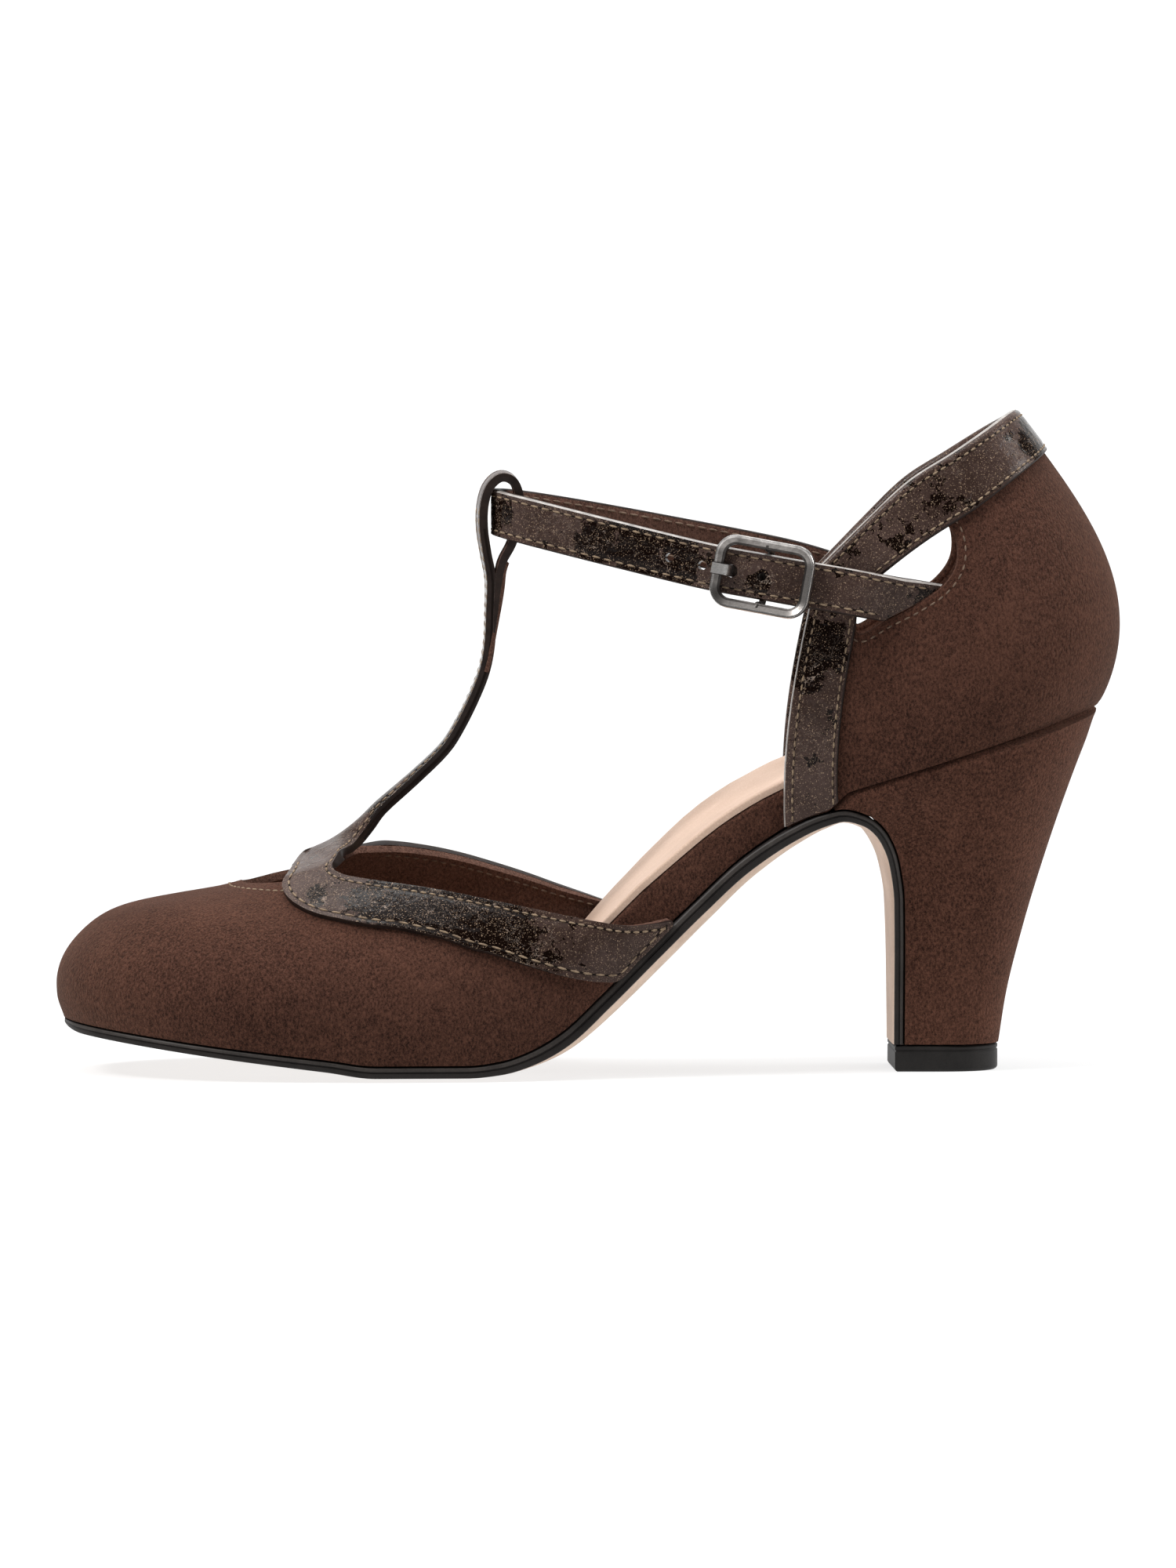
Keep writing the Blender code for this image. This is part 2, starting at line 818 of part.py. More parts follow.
def board_inset(x):
    """How far the board's edge stays inside the sole's edge: more where a wall stands round it."""
    inside_vamp = 1.0 - smooth((x - (VAMP_REAR_X + 0.8)) / 3.0)
    inside_cup = smooth((x - (QUARTER_FRONT_X - 4.0)) / 3.2)
    return 1.2 + 1.2 * max(inside_vamp, inside_cup)


def board_z(x):
    """Underside of the board: on the sole, then rising smoothly on to the heel seat."""
    return mix(SOLE_EDGE.at("z", x) + GAP, seat_z(x), smooth((x - 40.0) / 16.0)) + GAP


def board_line(x):
    before = Vector((x - 0.5, 0.0, board_z(x - 0.5)))
    after = Vector((x + 0.5, 0.0, board_z(x + 0.5)))
    return Vector((x, 0.0, board_z(x))), slope_normal(before, after)


def board_stations():
    xs = [TOE_X + 2.9 + d for d in (0.15, 1.0, 2.6, 5.0, 9.0, 15.0, 24.0, 36.0)]
    xs += [-60.0, -44.0, -30.0, -22.0, -17.0, -12.0, -7.0, -2.0, 4.0, 10.0, 15.0, 17.1]
    xs += [18.6, 20.1, 26.0, 32.0, 37.3, 38.9, 40.5, 43.5, 46.5, 49.5, 52.5, 56.0, 64.0, 74.0]
    return xs + [84.0, 92.0, 98.0, 102.0, 104.2, 105.4, 105.9]


def board_ring(x, low, high, extra):
    """Section of a layer that lies between two levels over the sole line."""
    point, normal = board_line(x)
    sides = {}
    for side in (-1, 1):
        inset = board_inset(x) + extra
        if x < TOE_END_X:
            near = TOE_X + board_inset(x) + extra
            share = (TOE_END_X - x) / (TOE_END_X - near)
            full = SOLE_EDGE.at("lateral", TOE_END_X) - inset - side * TOE_Y
            wide = max(0.0, 1.0 - share**TOE_POWER) ** (1.0 / TOE_POWER)
            sides[side] = side * TOE_Y + full * wide
        else:
            in_cup = smooth((x - (QUARTER_FRONT_X - 4.0)) / 3.2)
            cup_edge = max(0.0, cup_half_at(max(x, QUARTER_FRONT_X), inset))
            sides[side] = mix(sole_edge(x, side) - inset, cup_edge, in_cup)
    ring = []
    for level, order in ((low, (0.0, 0.28, 0.72, 1.0)), (high, (1.0, 0.72, 0.28, 0.0))):
        for share in order:
            rise = mix(BOARD.at("lateral", x), BOARD.at("medial", x), share)
            rise -= BOARD_DISH * share * (1.0 - share) * rise
            y = mix(-sides[-1], sides[1], share)
            ring.append(point + Vector((0.0, y, 0.0)) + normal * (level[0] * rise + level[1]))
    return ring


def build_boards():
    stations = board_stations()
    rings = [board_ring(x, (0.0, 0.0), (1.0, 0.0), 0.0) for x in stations]
    board = loft("insole_board", rings, (0.08, 0.036, 0.025), 0.95)
    low = (1.0, GAP)
    high = (1.0, GAP + SOCK_THICK)
    xs = [x + 0.6 for x in stations[:4]] + stations[4:-3] + [104.0, 104.8, 105.2]
    rings = [board_ring(x, low, high, 0.5) for x in xs]
    sock = loft("insole", rings, (0.72, 0.56, 0.44), 0.8)
    return board, sock


def vamp_keys(count):
    """Rib numbers, closer together round the toe."""
    half = []
    for i in range(1, count + 1):
        t = i / count
        half.append(0.55 * t + 0.45 * t**1.6)
    return [-share for share in reversed(half)] + [0.0] + half


def build_vamp():
    rows = []
    ribs = vamp_keys(20)
    tops = [topline_v(u) for u in ribs]
    for j in range(12):
        row = []
        for u, top in zip(ribs, tops):
            row.append(last(u, top * j / 11.0))
        rows.append(row)
    bm = bmesh.new()
    grid_faces(bm, rows, flip=True)
    obj = mesh_object("vamp", bm, (0.085, 0.038, 0.026), 0.95)
    add_solidify(obj, VAMP_WALL)
    return obj


def build_quarter():
    bm = bmesh.new()
    rows = []
    for j in range(13):
        rows.append([cup(i / 36.0, j / 12.0) for i in range(37)])
    grid_faces(bm, rows)
    obj = mesh_object("quarter", bm, (0.085, 0.038, 0.026), 0.95)
    add_solidify(obj, QUARTER_WALL)
    for side, name in SIDES:
        outline = [(x + window_back(side), z) for x, z in window_outline(0.0, 34)]
        add_boolean(obj, prism(f"window_cutter_{name}", outline, 0.0, side * 50.0))
    return obj


def window_back(side):
    return INNER_WINDOW_BACK if side > 0 else 0.0


def window_outline(inset, count):
    """Side-view outline of the window, smaller by the inset."""
    points = [Vector((x, 0.0, z)) for x, z in WINDOW]
    outline = []
    for key in even_keys(points, count, closed=True):
        here = curve_at(points, key, closed=True)
        ahead = curve_at(points, key + 0.02, closed=True)
        run = (ahead - here).normalized()
        outline.append((here.x + run.z * inset, here.z - run.x * inset))
    return outline


def trim_rows():
    """Rows across the trim, from the outer foot, round the collar, to the inner foot."""
    steps = 16
    outer = []
    for i in range(steps):
        v = max(0.012, i / steps)
        leg = FRONT_BAND / cup_round(min(0.8, v))
        outer.append(((0.0, v), (leg, v * 0.83)))
    corner = FRONT_BAND / cup_round(0.8)
    turn = 4
    for i in range(turn):
        t = i / turn
        u = t * 0.02
        outer.append(((u, 1.0), (corner + 0.012 * t, 1.0 - COLLAR_BAND / cup_rise(u) * 1.1)))
    collar = []
    count = 24
    for i in range(count + 1):
        u = mix(0.02, 0.5, i / count)
        inner_u = mix(corner + 0.012, 0.5, i / count)
        collar.append(((u, 1.0), (inner_u, 1.0 - COLLAR_BAND / cup_rise(inner_u))))
    half = outer + collar
    rows = half + [tuple((1.0 - u, v) for u, v in row) for row in reversed(half[:-1])]
    return rows


def build_trim():
    rows = []
    for edge, inner in trim_rows():
        row = []
        for k in range(3):
            t = k / 2.0
            u, v = mix(edge[0], inner[0], t), mix(edge[1], inner[1], t)
            row.append(cup_off(u, v, GAP + TRIM_THICK))
        rows.append(row)
    bm = bmesh.new()
    grid_faces(bm, rows, flip=True)
    obj = mesh_object("quarter_trim", bm, (0.02, 0.012, 0.009), 0.2)
    add_solidify(obj, TRIM_THICK)
    return obj


def find_on_last(x, z, side):
    """Rib and level of the point that side view shows at x and z."""
    low, high = 0.05, 0.95
    for _ in range(24):
        u = 0.5 * (low + high)
        below, above = 0.0, 1.0
        for _ in range(22):
            v = 0.5 * (below + above)
            if last(side * u, v).z < z:
                below = v
            else:
                above = v
        if last(side * u, v).x < x:
            low = u
        else:
            high = u
    return u, v


def wing_low(u, top):
    """Level of the wing's lower edge, its width below the topline."""
    point = last(u, top)
    wide = mix(WING_WIDTH, WING_WIDTH_REAR, smooth((abs(u) - WING_START) / 0.3))
    run = 0.0
    v = top
    while v > 0.012 and run < wide:
        v -= 0.01
        here = last(u, v)
        run += (here - point).length
        point = here
    return v


def spine_frame(key):
    """Point, outward normal and place across of the T-strap's outer face."""
    points = [Vector((x, 0.0, z)) for x, z in SPINE]
    here = curve_at(points, key)
    normal = slope_normal(curve_at(points, key - 0.05), curve_at(points, key + 0.05))
    here.y = mix(2.8, 0.4, smooth((key - 2.0) / 12.0))
    return here, normal


def wing_rows(side, columns):
    """Control rows of one half of the T-piece, from the outer edge to the topline, and their thickness."""
    rows = []
    for i in range(15):
        u = mix(1.0, WING_START, i / 14.0)
        top = topline_v(side * u)
        low = wing_low(side * u, top)
        rows.append(((u, low), (u, top)))
    joint = topline_v(WING_START)
    raised = rows[-1][0][1] - wing_low(-WING_START, topline_v(-WING_START))
    foot_v = find_on_last(*BRIDGE_EDGE[-1], -1)[1]
    span = len(WING_CORNER) + len(BRIDGE_EDGE)
    for i, (outer_x, outer_z, inner_x, inner_z) in enumerate(WING_CORNER):
        outer_u, outer_v = find_on_last(outer_x, outer_z, -1)
        inner_u, inner_v = find_on_last(inner_x, inner_z, -1)
        if side > 0:
            outer_u += INNER_CORNER_BACK * (i + 1.0) / len(WING_CORNER)
            outer_v += raised * (1.0 - (i + 1.0) / len(WING_CORNER))
            inner_v = mix(joint, foot_v, (i + 1.0) / span)
        rows.append(((outer_u, outer_v), (inner_u, inner_v)))
    points = []
    for outer, inner in rows:
        row = []
        for k in range(columns + 1):
            t = k / columns
            u, v = mix(outer[0], inner[0], t), mix(outer[1], inner[1], t)
            row.append(last_off(side * u, v, WING_GAP + WING_THICK))
        points.append((row, WING_THICK))
    for i, (inner_x, inner_z) in enumerate(BRIDGE_EDGE):
        centre, _ = spine_frame(float(i))
        u, v = find_on_last(inner_x, inner_z, -1)
        if side > 0:
            v = mix(joint, foot_v, (i + 1.0 + len(WING_CORNER)) / span)
        edge = last_off(side * u, v, WING_GAP + WING_THICK)
        row = []
        for k in range(columns + 1):
            t = k / columns
            point = centre.lerp(edge, t)
            point.z = mix(centre.z, edge.z, t * t)
            row.append(point)
        points.append((row, mix(WING_THICK, T_STRAP_THICK, (i + 1) / 3.0)))
    for i in range(3, len(SPINE)):
        centre, normal = spine_frame(float(i))
        half = STRAP_SHAPE.at("half", i)
        drop = STRAP_SHAPE.at("drop", i)
        row = []
        for k in range(columns + 1):
            t = k / columns
            row.append(centre + Vector((0.0, side * half * t, 0.0)) - normal * drop * t * t)
        points.append((row, STRAP_SHAPE.at("thick", i)))
    return points


def build_t_strap():
    columns = 3
    bm = bmesh.new()
    layer = bm.verts.layers.deform.verify()
    for side in (-1, 1):
        control = wing_rows(side, columns)
        lines = [[row[k] for row, _ in control] for k in range(columns + 1)]
        keys = []
        for i in range(len(control) - 1):
            keys.append(float(i))
            if i > 38:
                keys.append(i + 0.5)
        keys.append(len(control) - 1.0)
        rows = [[curve_at(line, key) for line in lines] for key in keys]
        verts = grid_faces(bm, rows, flip=side > 0)
        for key, row in zip(keys, verts):
            thick = mix(control[math.floor(key)][1], control[math.ceil(key)][1], key % 1.0)
            for vert in row:
                vert[layer][0] = thick / T_STRAP_THICK
    bmesh.ops.remove_doubles(bm, verts=bm.verts, dist=1e-6)
    obj = mesh_object("t_strap", bm, (0.02, 0.012, 0.009), 0.2)
    obj.vertex_groups.new(name="thick")
    add_solidify(obj, T_STRAP_THICK)
    obj.modifiers["wall"].vertex_group = "thick"
    return obj


def strap_lines():
    centre, lean = [], []
    for x, y_low, y_high, z in STRAP[1]:
        centre.append(Vector((x, 0.5 * (y_low + y_high), z)))
        lean.append(Vector((0.5 * (y_high - y_low), 0.0, 0.0)))
    return centre, lean


STRAP_CENTRE, STRAP_LEAN = strap_lines()


def strap_frame(key):
    """Centre, run, up and outward directions of the ankle strap."""
    here = curve_at(STRAP_CENTRE, key)
    run = (curve_at(STRAP_CENTRE, key + 0.03) - curve_at(STRAP_CENTRE, key - 0.03)).normalized()
    up = Vector((0.0, 0.0, 1.0)) - run * run.z
    up.normalize()
    lean = curve_at(STRAP_LEAN, key).x
    up = (up * (0.5 * STRAP_WIDTH) + Vector((0.0, lean, 0.0))).normalized()
    return here, run, up, up.cross(run).normalized()


def strap_key(x, side):
    """Key of the strap where it passes x on one side."""
    low, high = (0.0, 13.0) if side < 0 else (26.0, 13.0)
    for _ in range(40):
        key = 0.5 * (low + high)
        if curve_at(STRAP_CENTRE, key).x > x:
            low = key
        else:
            high = key
    return key


def peg(name, centre, axis, radius, length):
    """Round cutter along an axis."""
    bm = bmesh.new()
    turn = Vector((0.0, 0.0, 1.0)).rotation_difference(axis).to_matrix().to_4x4()
    place = Matrix.Translation(centre * MM) @ turn
    bmesh.ops.create_cone(
        bm,
        cap_ends=True,
        segments=12,
        radius1=radius * MM,
        radius2=radius * MM,
        depth=length * MM,
        matrix=place,
    )
    return cutter_object(name, bm)


def scoop_outline():
    """Side-view area behind the window's rear edge, where the strap's ends go out of sight."""
    outline = window_outline(GAP, 60)
    apex = max(range(60), key=lambda i: outline[i][1])
    foot = min(range(60), key=lambda i: outline[i][1])
    edge = outline[apex : foot + 1] if apex < foot else outline[apex:] + outline[: foot + 1]
    return edge + [(edge[-1][0], 80.0), (110.0, 80.0), (110.0, edge[0][1])]


def build_ankle_strap():
    bm = bmesh.new()
    rows = []
    for key in even_keys(STRAP_CENTRE, 60):
        here, _, up, _ = strap_frame(key)
        rows.append([here + up * (STRAP_WIDTH * t) for t in (-0.5, 0.0, 0.5)])
    grid_faces(bm, rows)
    obj = mesh_object("ankle_strap", bm, (0.02, 0.012, 0.009), 0.2)
    add_solidify(obj, STRAP_THICK, 0.0)
    for side, name in SIDES:
        outline = [(x + window_back(side), z) for x, z in scoop_outline()]
        add_boolean(obj, prism(f"scoop_cutter_{name}", outline, side * 12.0, side * 60.0))
    for i, x in enumerate(STRAP_HOLES_X):
        here, _, _, out = strap_frame(strap_key(x, -1))
        add_boolean(obj, peg(f"hole_cutter_{i}", here, out, 0.5 * STRAP_HOLE, 6.0))
    place = buckle_place()
    centre = place @ Vector((PRONG_HOLE_AT, 0.0, 0.0))
    out = place.to_3x3() @ Vector((0.0, 0.0, 1.0))
    add_boolean(obj, peg("prong_hole_cutter", centre, out, 0.5 * PRONG_HOLE, 6.0))
    return obj


def buckle_place():
    """Frame of the buckle: along the strap to the rear, up its width and outward."""
    here, run, up, _ = strap_frame(strap_key(BUCKLE_AT_X, -1))
    run = -run
    up = (up - run * up.dot(run)).normalized()
    out = run.cross(up)
    turn = Matrix((run, up, out)).transposed().to_4x4()
    return Matrix.Translation(here) @ turn


def tube(bm, path, square, radius, sides, closed):
    """Round bar along a path that lies in one plane, with square as that plane's normal."""
    rings = []
    count = len(path)
    for i, here in enumerate(path):
        before = path[i - 1] if closed or i > 0 else here
        after = path[(i + 1) % count] if closed or i < count - 1 else here
        run = (after - before).normalized()
        other = run.cross(square)
        ring = []
        for k in range(sides):
            angle = 2.0 * math.pi * (k + 0.5) / sides
            ring.append(here + (square * math.cos(angle) + other * math.sin(angle)) * radius)
        rings.append(ring)
    if closed:
        verts = grid_faces(bm, rings, closed=True)
        for i in range(sides):
            j = (i + 1) % sides
            bm.faces.new((verts[-1][i], verts[-1][j], verts[0][j], verts[0][i]))
    else:
        verts = grid_faces(bm, rings, closed=True)
        bm.faces.new(reversed(verts[0]))
        bm.faces.new(verts[-1])
    bmesh.ops.recalc_face_normals(bm, faces=bm.faces)


def frame_path(level):
    """Middle line of the buckle's frame, a rectangle with round corners."""
    half_long = 0.5 * (BUCKLE_LENGTH - BUCKLE_WIRE)
    half_high = 0.5 * (BUCKLE_HEIGHT - BUCKLE_WIRE)
    path = []
    for quarter, (sx, sy) in enumerate(((1, 1), (-1, 1), (-1, -1), (1, -1))):
        for k in range(5):
            angle = 0.5 * math.pi * (quarter + k / 4.0)
            x = sx * (half_long - BUCKLE_CORNER) + BUCKLE_CORNER * math.cos(angle)
            y = sy * (half_high - BUCKLE_CORNER) + BUCKLE_CORNER * math.sin(angle)
            path.append(Vector((x, y, level)))
    return path


def build_buckle():
    place = buckle_place()
    along, up, out = (place.to_3x3().col[i].copy() for i in range(3))
    level = 0.5 * STRAP_THICK + GAP + 0.5 * BUCKLE_WIRE
    back = -(0.5 * STRAP_THICK + BAR_DROP)
    bm = bmesh.new()
    tube(bm, [place @ point for point in frame_path(level)], out, 0.5 * BUCKLE_WIRE, 10, True)
    frame = mesh_object("buckle_frame", bm, (0.42, 0.41, 0.40), 0.3, 1.0)
    high = 0.5 * (BUCKLE_HEIGHT - BUCKLE_WIRE)
    side = 0.5 * STRAP_WIDTH + GAP + 0.5 * BAR_WIRE + 0.1
    half = ((high, level), (side, level - 0.6), (side, back + 1.2), (side - 1.2, back), (0.0, back))
    path = [Vector((0.0, y, z)) for y, z in half]
    path += [Vector((0.0, -y, z)) for y, z in reversed(half[:-1])]
    bar = bmesh.new()
    tube(bar, [place @ point for point in path], along, 0.5 * BAR_WIRE, 8, False)
    add_boolean(frame, cutter_object("bar_piece", bar), "UNION")
    reach = 0.5 * (BAR_WIRE + PRONG_WIRE) + GAP
    left = -0.5 * (BUCKLE_LENGTH - BUCKLE_WIRE)
    over = level + 0.5 * (BUCKLE_WIRE + PRONG_WIRE) + GAP
    line = []
    for degrees in (10.0, -35.0, -80.0, -125.0, -170.0):
        turn = math.radians(degrees)
        line.append(Vector((reach * math.cos(turn), 0.0, back + reach * math.sin(turn))))
    line += [
        Vector((-reach - 0.9, 0.0, back + 1.4)),
        Vector((PRONG_HOLE_AT, 0.0, -0.2)),
        Vector((PRONG_HOLE_AT - 0.9, 0.0, level)),
        Vector((left + 1.6, 0.0, over - 0.1)),
        Vector((left, 0.0, over)),
        Vector((left - 1.3, 0.0, over - 0.3)),
    ]
    bm = bmesh.new()
    smooth_line = [curve_at(line, key) for key in even_keys(line, 18)]
    tube(bm, [place @ point for point in smooth_line], up, 0.5 * PRONG_WIRE, 8, False)
    mesh_object("buckle_prong", bm, (0.42, 0.41, 0.40), 0.3, 1.0)


def build():
    build_outsole()
    build_heel()
    build_top_piece()
    build_boards()
    build_vamp()
    build_quarter()
    build_trim()
    build_t_strap()
    build_ankle_strap()
    build_buckle()
    shift = Matrix.Translation(Vector(CENTRE_SHIFT) * MM)
    for obj in (*PARTS.objects, *CUTTERS.objects):
        obj.data.transform(shift)


for old in list(bpy.data.objects):
    bpy.data.objects.remove(old, do_unlink=True)

PARTS = bpy.data.collections.new("t_strap_pump")
CUTTERS = bpy.data.collections.new("cutters")
bpy.context.scene.collection.children.link(PARTS)
bpy.context.scene.collection.children.link(CUTTERS)
CUTTERS.hide_render = True

build()
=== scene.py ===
"""Left T-strap pump in brown suede and crackled patent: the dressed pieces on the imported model.

The toe points to -X, the heel to +X and the outer side of the foot to -Y. Sizes are in
millimetres until a piece is finished, and its mesh is then put in place in metres.
"""

import bisect
import math

import bmesh
import bpy
from mathutils import Matrix, Vector


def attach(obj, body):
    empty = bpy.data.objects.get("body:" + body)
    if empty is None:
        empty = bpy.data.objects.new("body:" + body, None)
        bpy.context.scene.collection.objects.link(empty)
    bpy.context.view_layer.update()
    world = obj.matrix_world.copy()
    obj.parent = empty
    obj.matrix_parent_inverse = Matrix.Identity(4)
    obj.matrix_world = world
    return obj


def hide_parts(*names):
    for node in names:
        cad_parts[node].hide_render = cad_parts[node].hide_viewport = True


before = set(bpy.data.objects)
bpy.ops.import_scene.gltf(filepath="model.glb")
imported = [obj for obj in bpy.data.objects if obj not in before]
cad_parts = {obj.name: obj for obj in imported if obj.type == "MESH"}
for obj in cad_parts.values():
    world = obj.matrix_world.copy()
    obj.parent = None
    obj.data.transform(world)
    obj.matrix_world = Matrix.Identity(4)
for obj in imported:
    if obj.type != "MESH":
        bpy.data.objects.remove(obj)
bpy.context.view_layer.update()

# Sizes and lines of the shoe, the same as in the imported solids

MM = 0.001
GAP = 0.3
SIDES = ((-1, "outer"), (1, "inner"))

# Walls and sheets
VAMP_WALL = 1.8
QUARTER_WALL = 2.0
STRAP_THICK = 2.0
SOCK_THICK = 1.3
BOARD_DISH = 0.4

# Plan of the toe
TOE_X = -111.3
TOE_Y = 2.0
TOE_POWER = 2.12
TOE_END_X = -56.0
TOE_BLEND = (-105.0, 50.0)

# Vamp
VAMP_REAR_X = 16.3
THROAT_FRONT_X = -73.5
KEYHOLE_RADIUS = 13.0
FAN_START_X = -70.0
FAN_END_X = -35.0
WING_START = 0.525
INNER_CORNER_BACK = 0.012
WING_WIDTH = 11.0
WING_WIDTH_REAR = 12.2
WING_WIDEN = (WING_START, 0.3)
WING_FOOT = 0.012
WING_STEP = 0.01
TOPLINE_LEAST = 0.045
RIB_STEPS = 200
RIB_REACH = 0.06

# Quarter
QUARTER_FRONT_X = 41.3
SEAT_REF_X = 51.7
SEAT_REF_Z = 59.4
SEAT_SLOPE = 0.322
SEAT_BLEND = (49.0, 5.5)
BULGE_AT = 0.42
BULGE_POWER = 0.85
COLLAR_BAND = 10.0
FRONT_BAND = 10.8
INNER_BACK = 2.4
INNER_WINDOW_BACK = 2.8

# Straps and buckle
STRAP_WIDTH = 9.8
STRAP_HOLE = 1.9
BUCKLE_AT_X = 36.0
BUCKLE_LENGTH = 21.4
BUCKLE_HEIGHT = 15.6
BUCKLE_WIRE = 2.1
BUCKLE_CORNER = 3.4
BAR_WIRE = 1.5
BAR_DROP = 2.8
PRONG_WIRE = 1.4

# Shift that puts the middle of the whole shoe's outline on the origin
CENTRE_SHIFT = (-0.11, 0.4, 0.0)

# Heel top piece
TOP_PIECE_HIGH = 5.5
TOP_PIECE_FRONT_X = 64.8
TOP_PIECE_BACK_X = 87.4
TOP_PIECE_FRONT_HALF = 11.7
TOP_PIECE_HALF = 12.1

# Heel: gap under the seat at its front, place of its greatest width and roundness of its back
BREAST_GAP = 1.8
HEEL_WIDEST = 0.45
HEEL_POWER = 2.4


def monotone(keys, values, key):
    """Smooth reading of a column that never overshoots its rows."""
    last = len(keys) - 1
    if key <= keys[0]:
        return values[0]
    if key >= keys[last]:
        return values[last]
    i = 0
    while key > keys[i + 1]:
        i += 1

    def chord(k):
        return (values[k + 1] - values[k]) / (keys[k + 1] - keys[k])

    def slope(k):
        if k == 0 or k == last:
            return chord(min(k, last - 1))
        left = chord(k - 1)
        right = chord(k)
        if left * right <= 0.0:
            return 0.0
        return 2.0 * left * right / (left + right)

    wide = keys[i + 1] - keys[i]
    t = (key - keys[i]) / wide
    start = (1 + 2 * t) * (1 - t) ** 2 * values[i] + t * (1 - t) ** 2 * wide * slope(i)
    end = t * t * (3 - 2 * t) * values[i + 1] + t * t * (t - 1) * wide * slope(i + 1)
    return start + end


class Table:
    """Rows of named sizes. The key is the first column, or the run along two columns."""

    def __init__(self, names, rows, run=None):
        self.columns = {}
        for i, name in enumerate(names.split()):
            self.columns[name] = [float(row[i]) for row in rows]
        self.key = self.columns[names.split()[0]]
        if run:
            across = self.columns[run[0]]
            up = self.columns[run[1]]
            self.key = [0.0]
            for i in range(1, len(rows)):
                step = math.hypot(across[i] - across[i - 1], up[i] - up[i - 1])
                self.key.append(self.key[-1] + step)
        self.length = self.key[-1]

    def at(self, name, key):
        return monotone(self.key, self.columns[name], key)


# Upper face of the outsole from the toe, over the apex and down the heel breast
SOLE = Table(
    "x z lateral medial thick crown",
    (
        (-111.3, 11.2, 35.8, 35.8, 1.9, 0.5),
        (-98.0, 9.5, 35.8, 35.8, 2.0, 0.6),
        (-80.0, 7.2, 35.8, 35.8, 2.1, 0.7),
        (-56.0, 4.4, 35.8, 35.8, 2.3, 0.8),
        (-46.0, 3.2, 36.4, 35.6, 2.4, 0.8),
        (-27.0, 3.2, 36.2, 33.0, 2.4, 0.8),
        (-20.0, 4.0, 35.4, 31.2, 2.6, 0.8),
        (-14.0, 5.9, 34.2, 29.5, 2.8, 1.1),
        (-7.0, 9.8, 32.3, 27.5, 3.0, 1.8),
        (1.7, 17.6, 29.7, 25.3, 3.0, 2.4),
        (12.0, 27.6, 27.0, 23.4, 3.0, 2.5),
        (21.7, 37.0, 25.3, 22.6, 3.0, 2.4),
        (31.7, 46.0, 24.4, 22.6, 3.0, 2.1),
        (41.7, 52.4, 24.5, 23.6, 2.8, 1.6),
        (48.3, 55.3, 25.0, 24.5, 2.6, 1.0),
        (53.0, 56.3, 24.8, 24.6, 2.4, 0.6),
        (58.3, 54.8, 23.2, 23.0, 2.2, 0.7),
        (62.5, 51.0, 20.4, 20.4, 2.1, 0.9),
        (65.2, 44.5, 17.2, 17.2, 2.0, 0.8),
        (66.4, 36.0, 14.9, 14.9, 2.0, 0.6),
        (66.6, 22.0, 12.9, 12.9, 2.0, 0.4),
        (66.6, 5.8, 11.8, 11.8, 2.0, 0.2),
    ),
    run=("x", "z"),
)

# Rows of the sole where the plan of the toe ends and where the heel breast begins
TOE_ROW = 3
BREAST_ROW = 15

# The same edge read against x, for the pieces that stand on the sole
EDGE_NAMES = ("x", "z", "lateral", "medial")
EDGE_COLUMNS = [SOLE.columns[name][: BREAST_ROW + 1] for name in EDGE_NAMES]
SOLE_EDGE = Table(" ".join(EDGE_NAMES), list(zip(*EDGE_COLUMNS)))

# Insole board: thickness square to the sole at its two edges
BOARD = Table(
    "x lateral medial",
    (
        (-112.0, 3.5, 3.5),
        (-60.0, 4.5, 4.5),
        (-20.0, 6.0, 5.6),
        (0.0, 8.8, 7.2),
        (15.0, 9.0, 9.0),
        (30.0, 8.0, 9.4),
        (41.0, 7.4, 9.2),
        (60.0, 4.5, 5.5),
        (110.0, 3.6, 3.6),
    ),
)

# Instep line of the last under the T-strap
RIDGE = Table(
    "x y z",
    (
        (-73.5, 2.6, 40.6),
        (-67.0, 2.8, 42.2),
        (-61.7, 2.8, 43.8),
        (-58.3, 2.8, 45.1),
        (-55.0, 2.8, 46.6),
        (-51.7, 2.7, 48.5),
        (-48.3, 2.6, 50.5),
        (-41.7, 2.4, 54.2),
        (-31.7, 2.2, 58.4),
        (-15.0, 2.0, 62.0),
        (17.0, 2.0, 64.0),
    ),
)

# Section of the last from the feather edge to the instep line: shares inward and upward
RIB = Table(
    "v toe_in toe_up side_in side_up",
    (
        (0.0, 0.0, 0.0, 0.0, 0.0),
        (0.14, -0.0485, 0.219, -0.030, 0.12),
        (0.28, -0.011, 0.428, -0.036, 0.25),
        (0.42, 0.0732, 0.584, -0.005, 0.38),
        (0.56, 0.2325, 0.764, 0.09, 0.51),
        (0.70, 0.475, 0.842, 0.24, 0.66),
        (0.82, 0.732, 0.895, 0.47, 0.83),
        (0.92, 0.87, 0.945, 0.73, 0.945),
        (1.0, 1.0, 1.0, 1.0, 1.0),
    ),
)

# Height of the vamp's top edge on each side
TOPLINE = Table(
    "x lateral medial",
    (
        (-73.5, 39.2, 39.6),
        (-66.0, 39.1, 41.3),
        (-60.0, 39.5, 42.2),
        (-54.0, 40.6, 43.6),
        (-48.3, 41.1, 46.6),
        (-41.7, 40.5, 46.5),
        (-31.7, 39.2, 45.2),
        (-15.0, 36.0, 40.7),
        (-1.7, 33.5, 36.2),
        (8.3, 32.4, 33.6),
        (16.5, 33.4, 33.4),
    ),
)

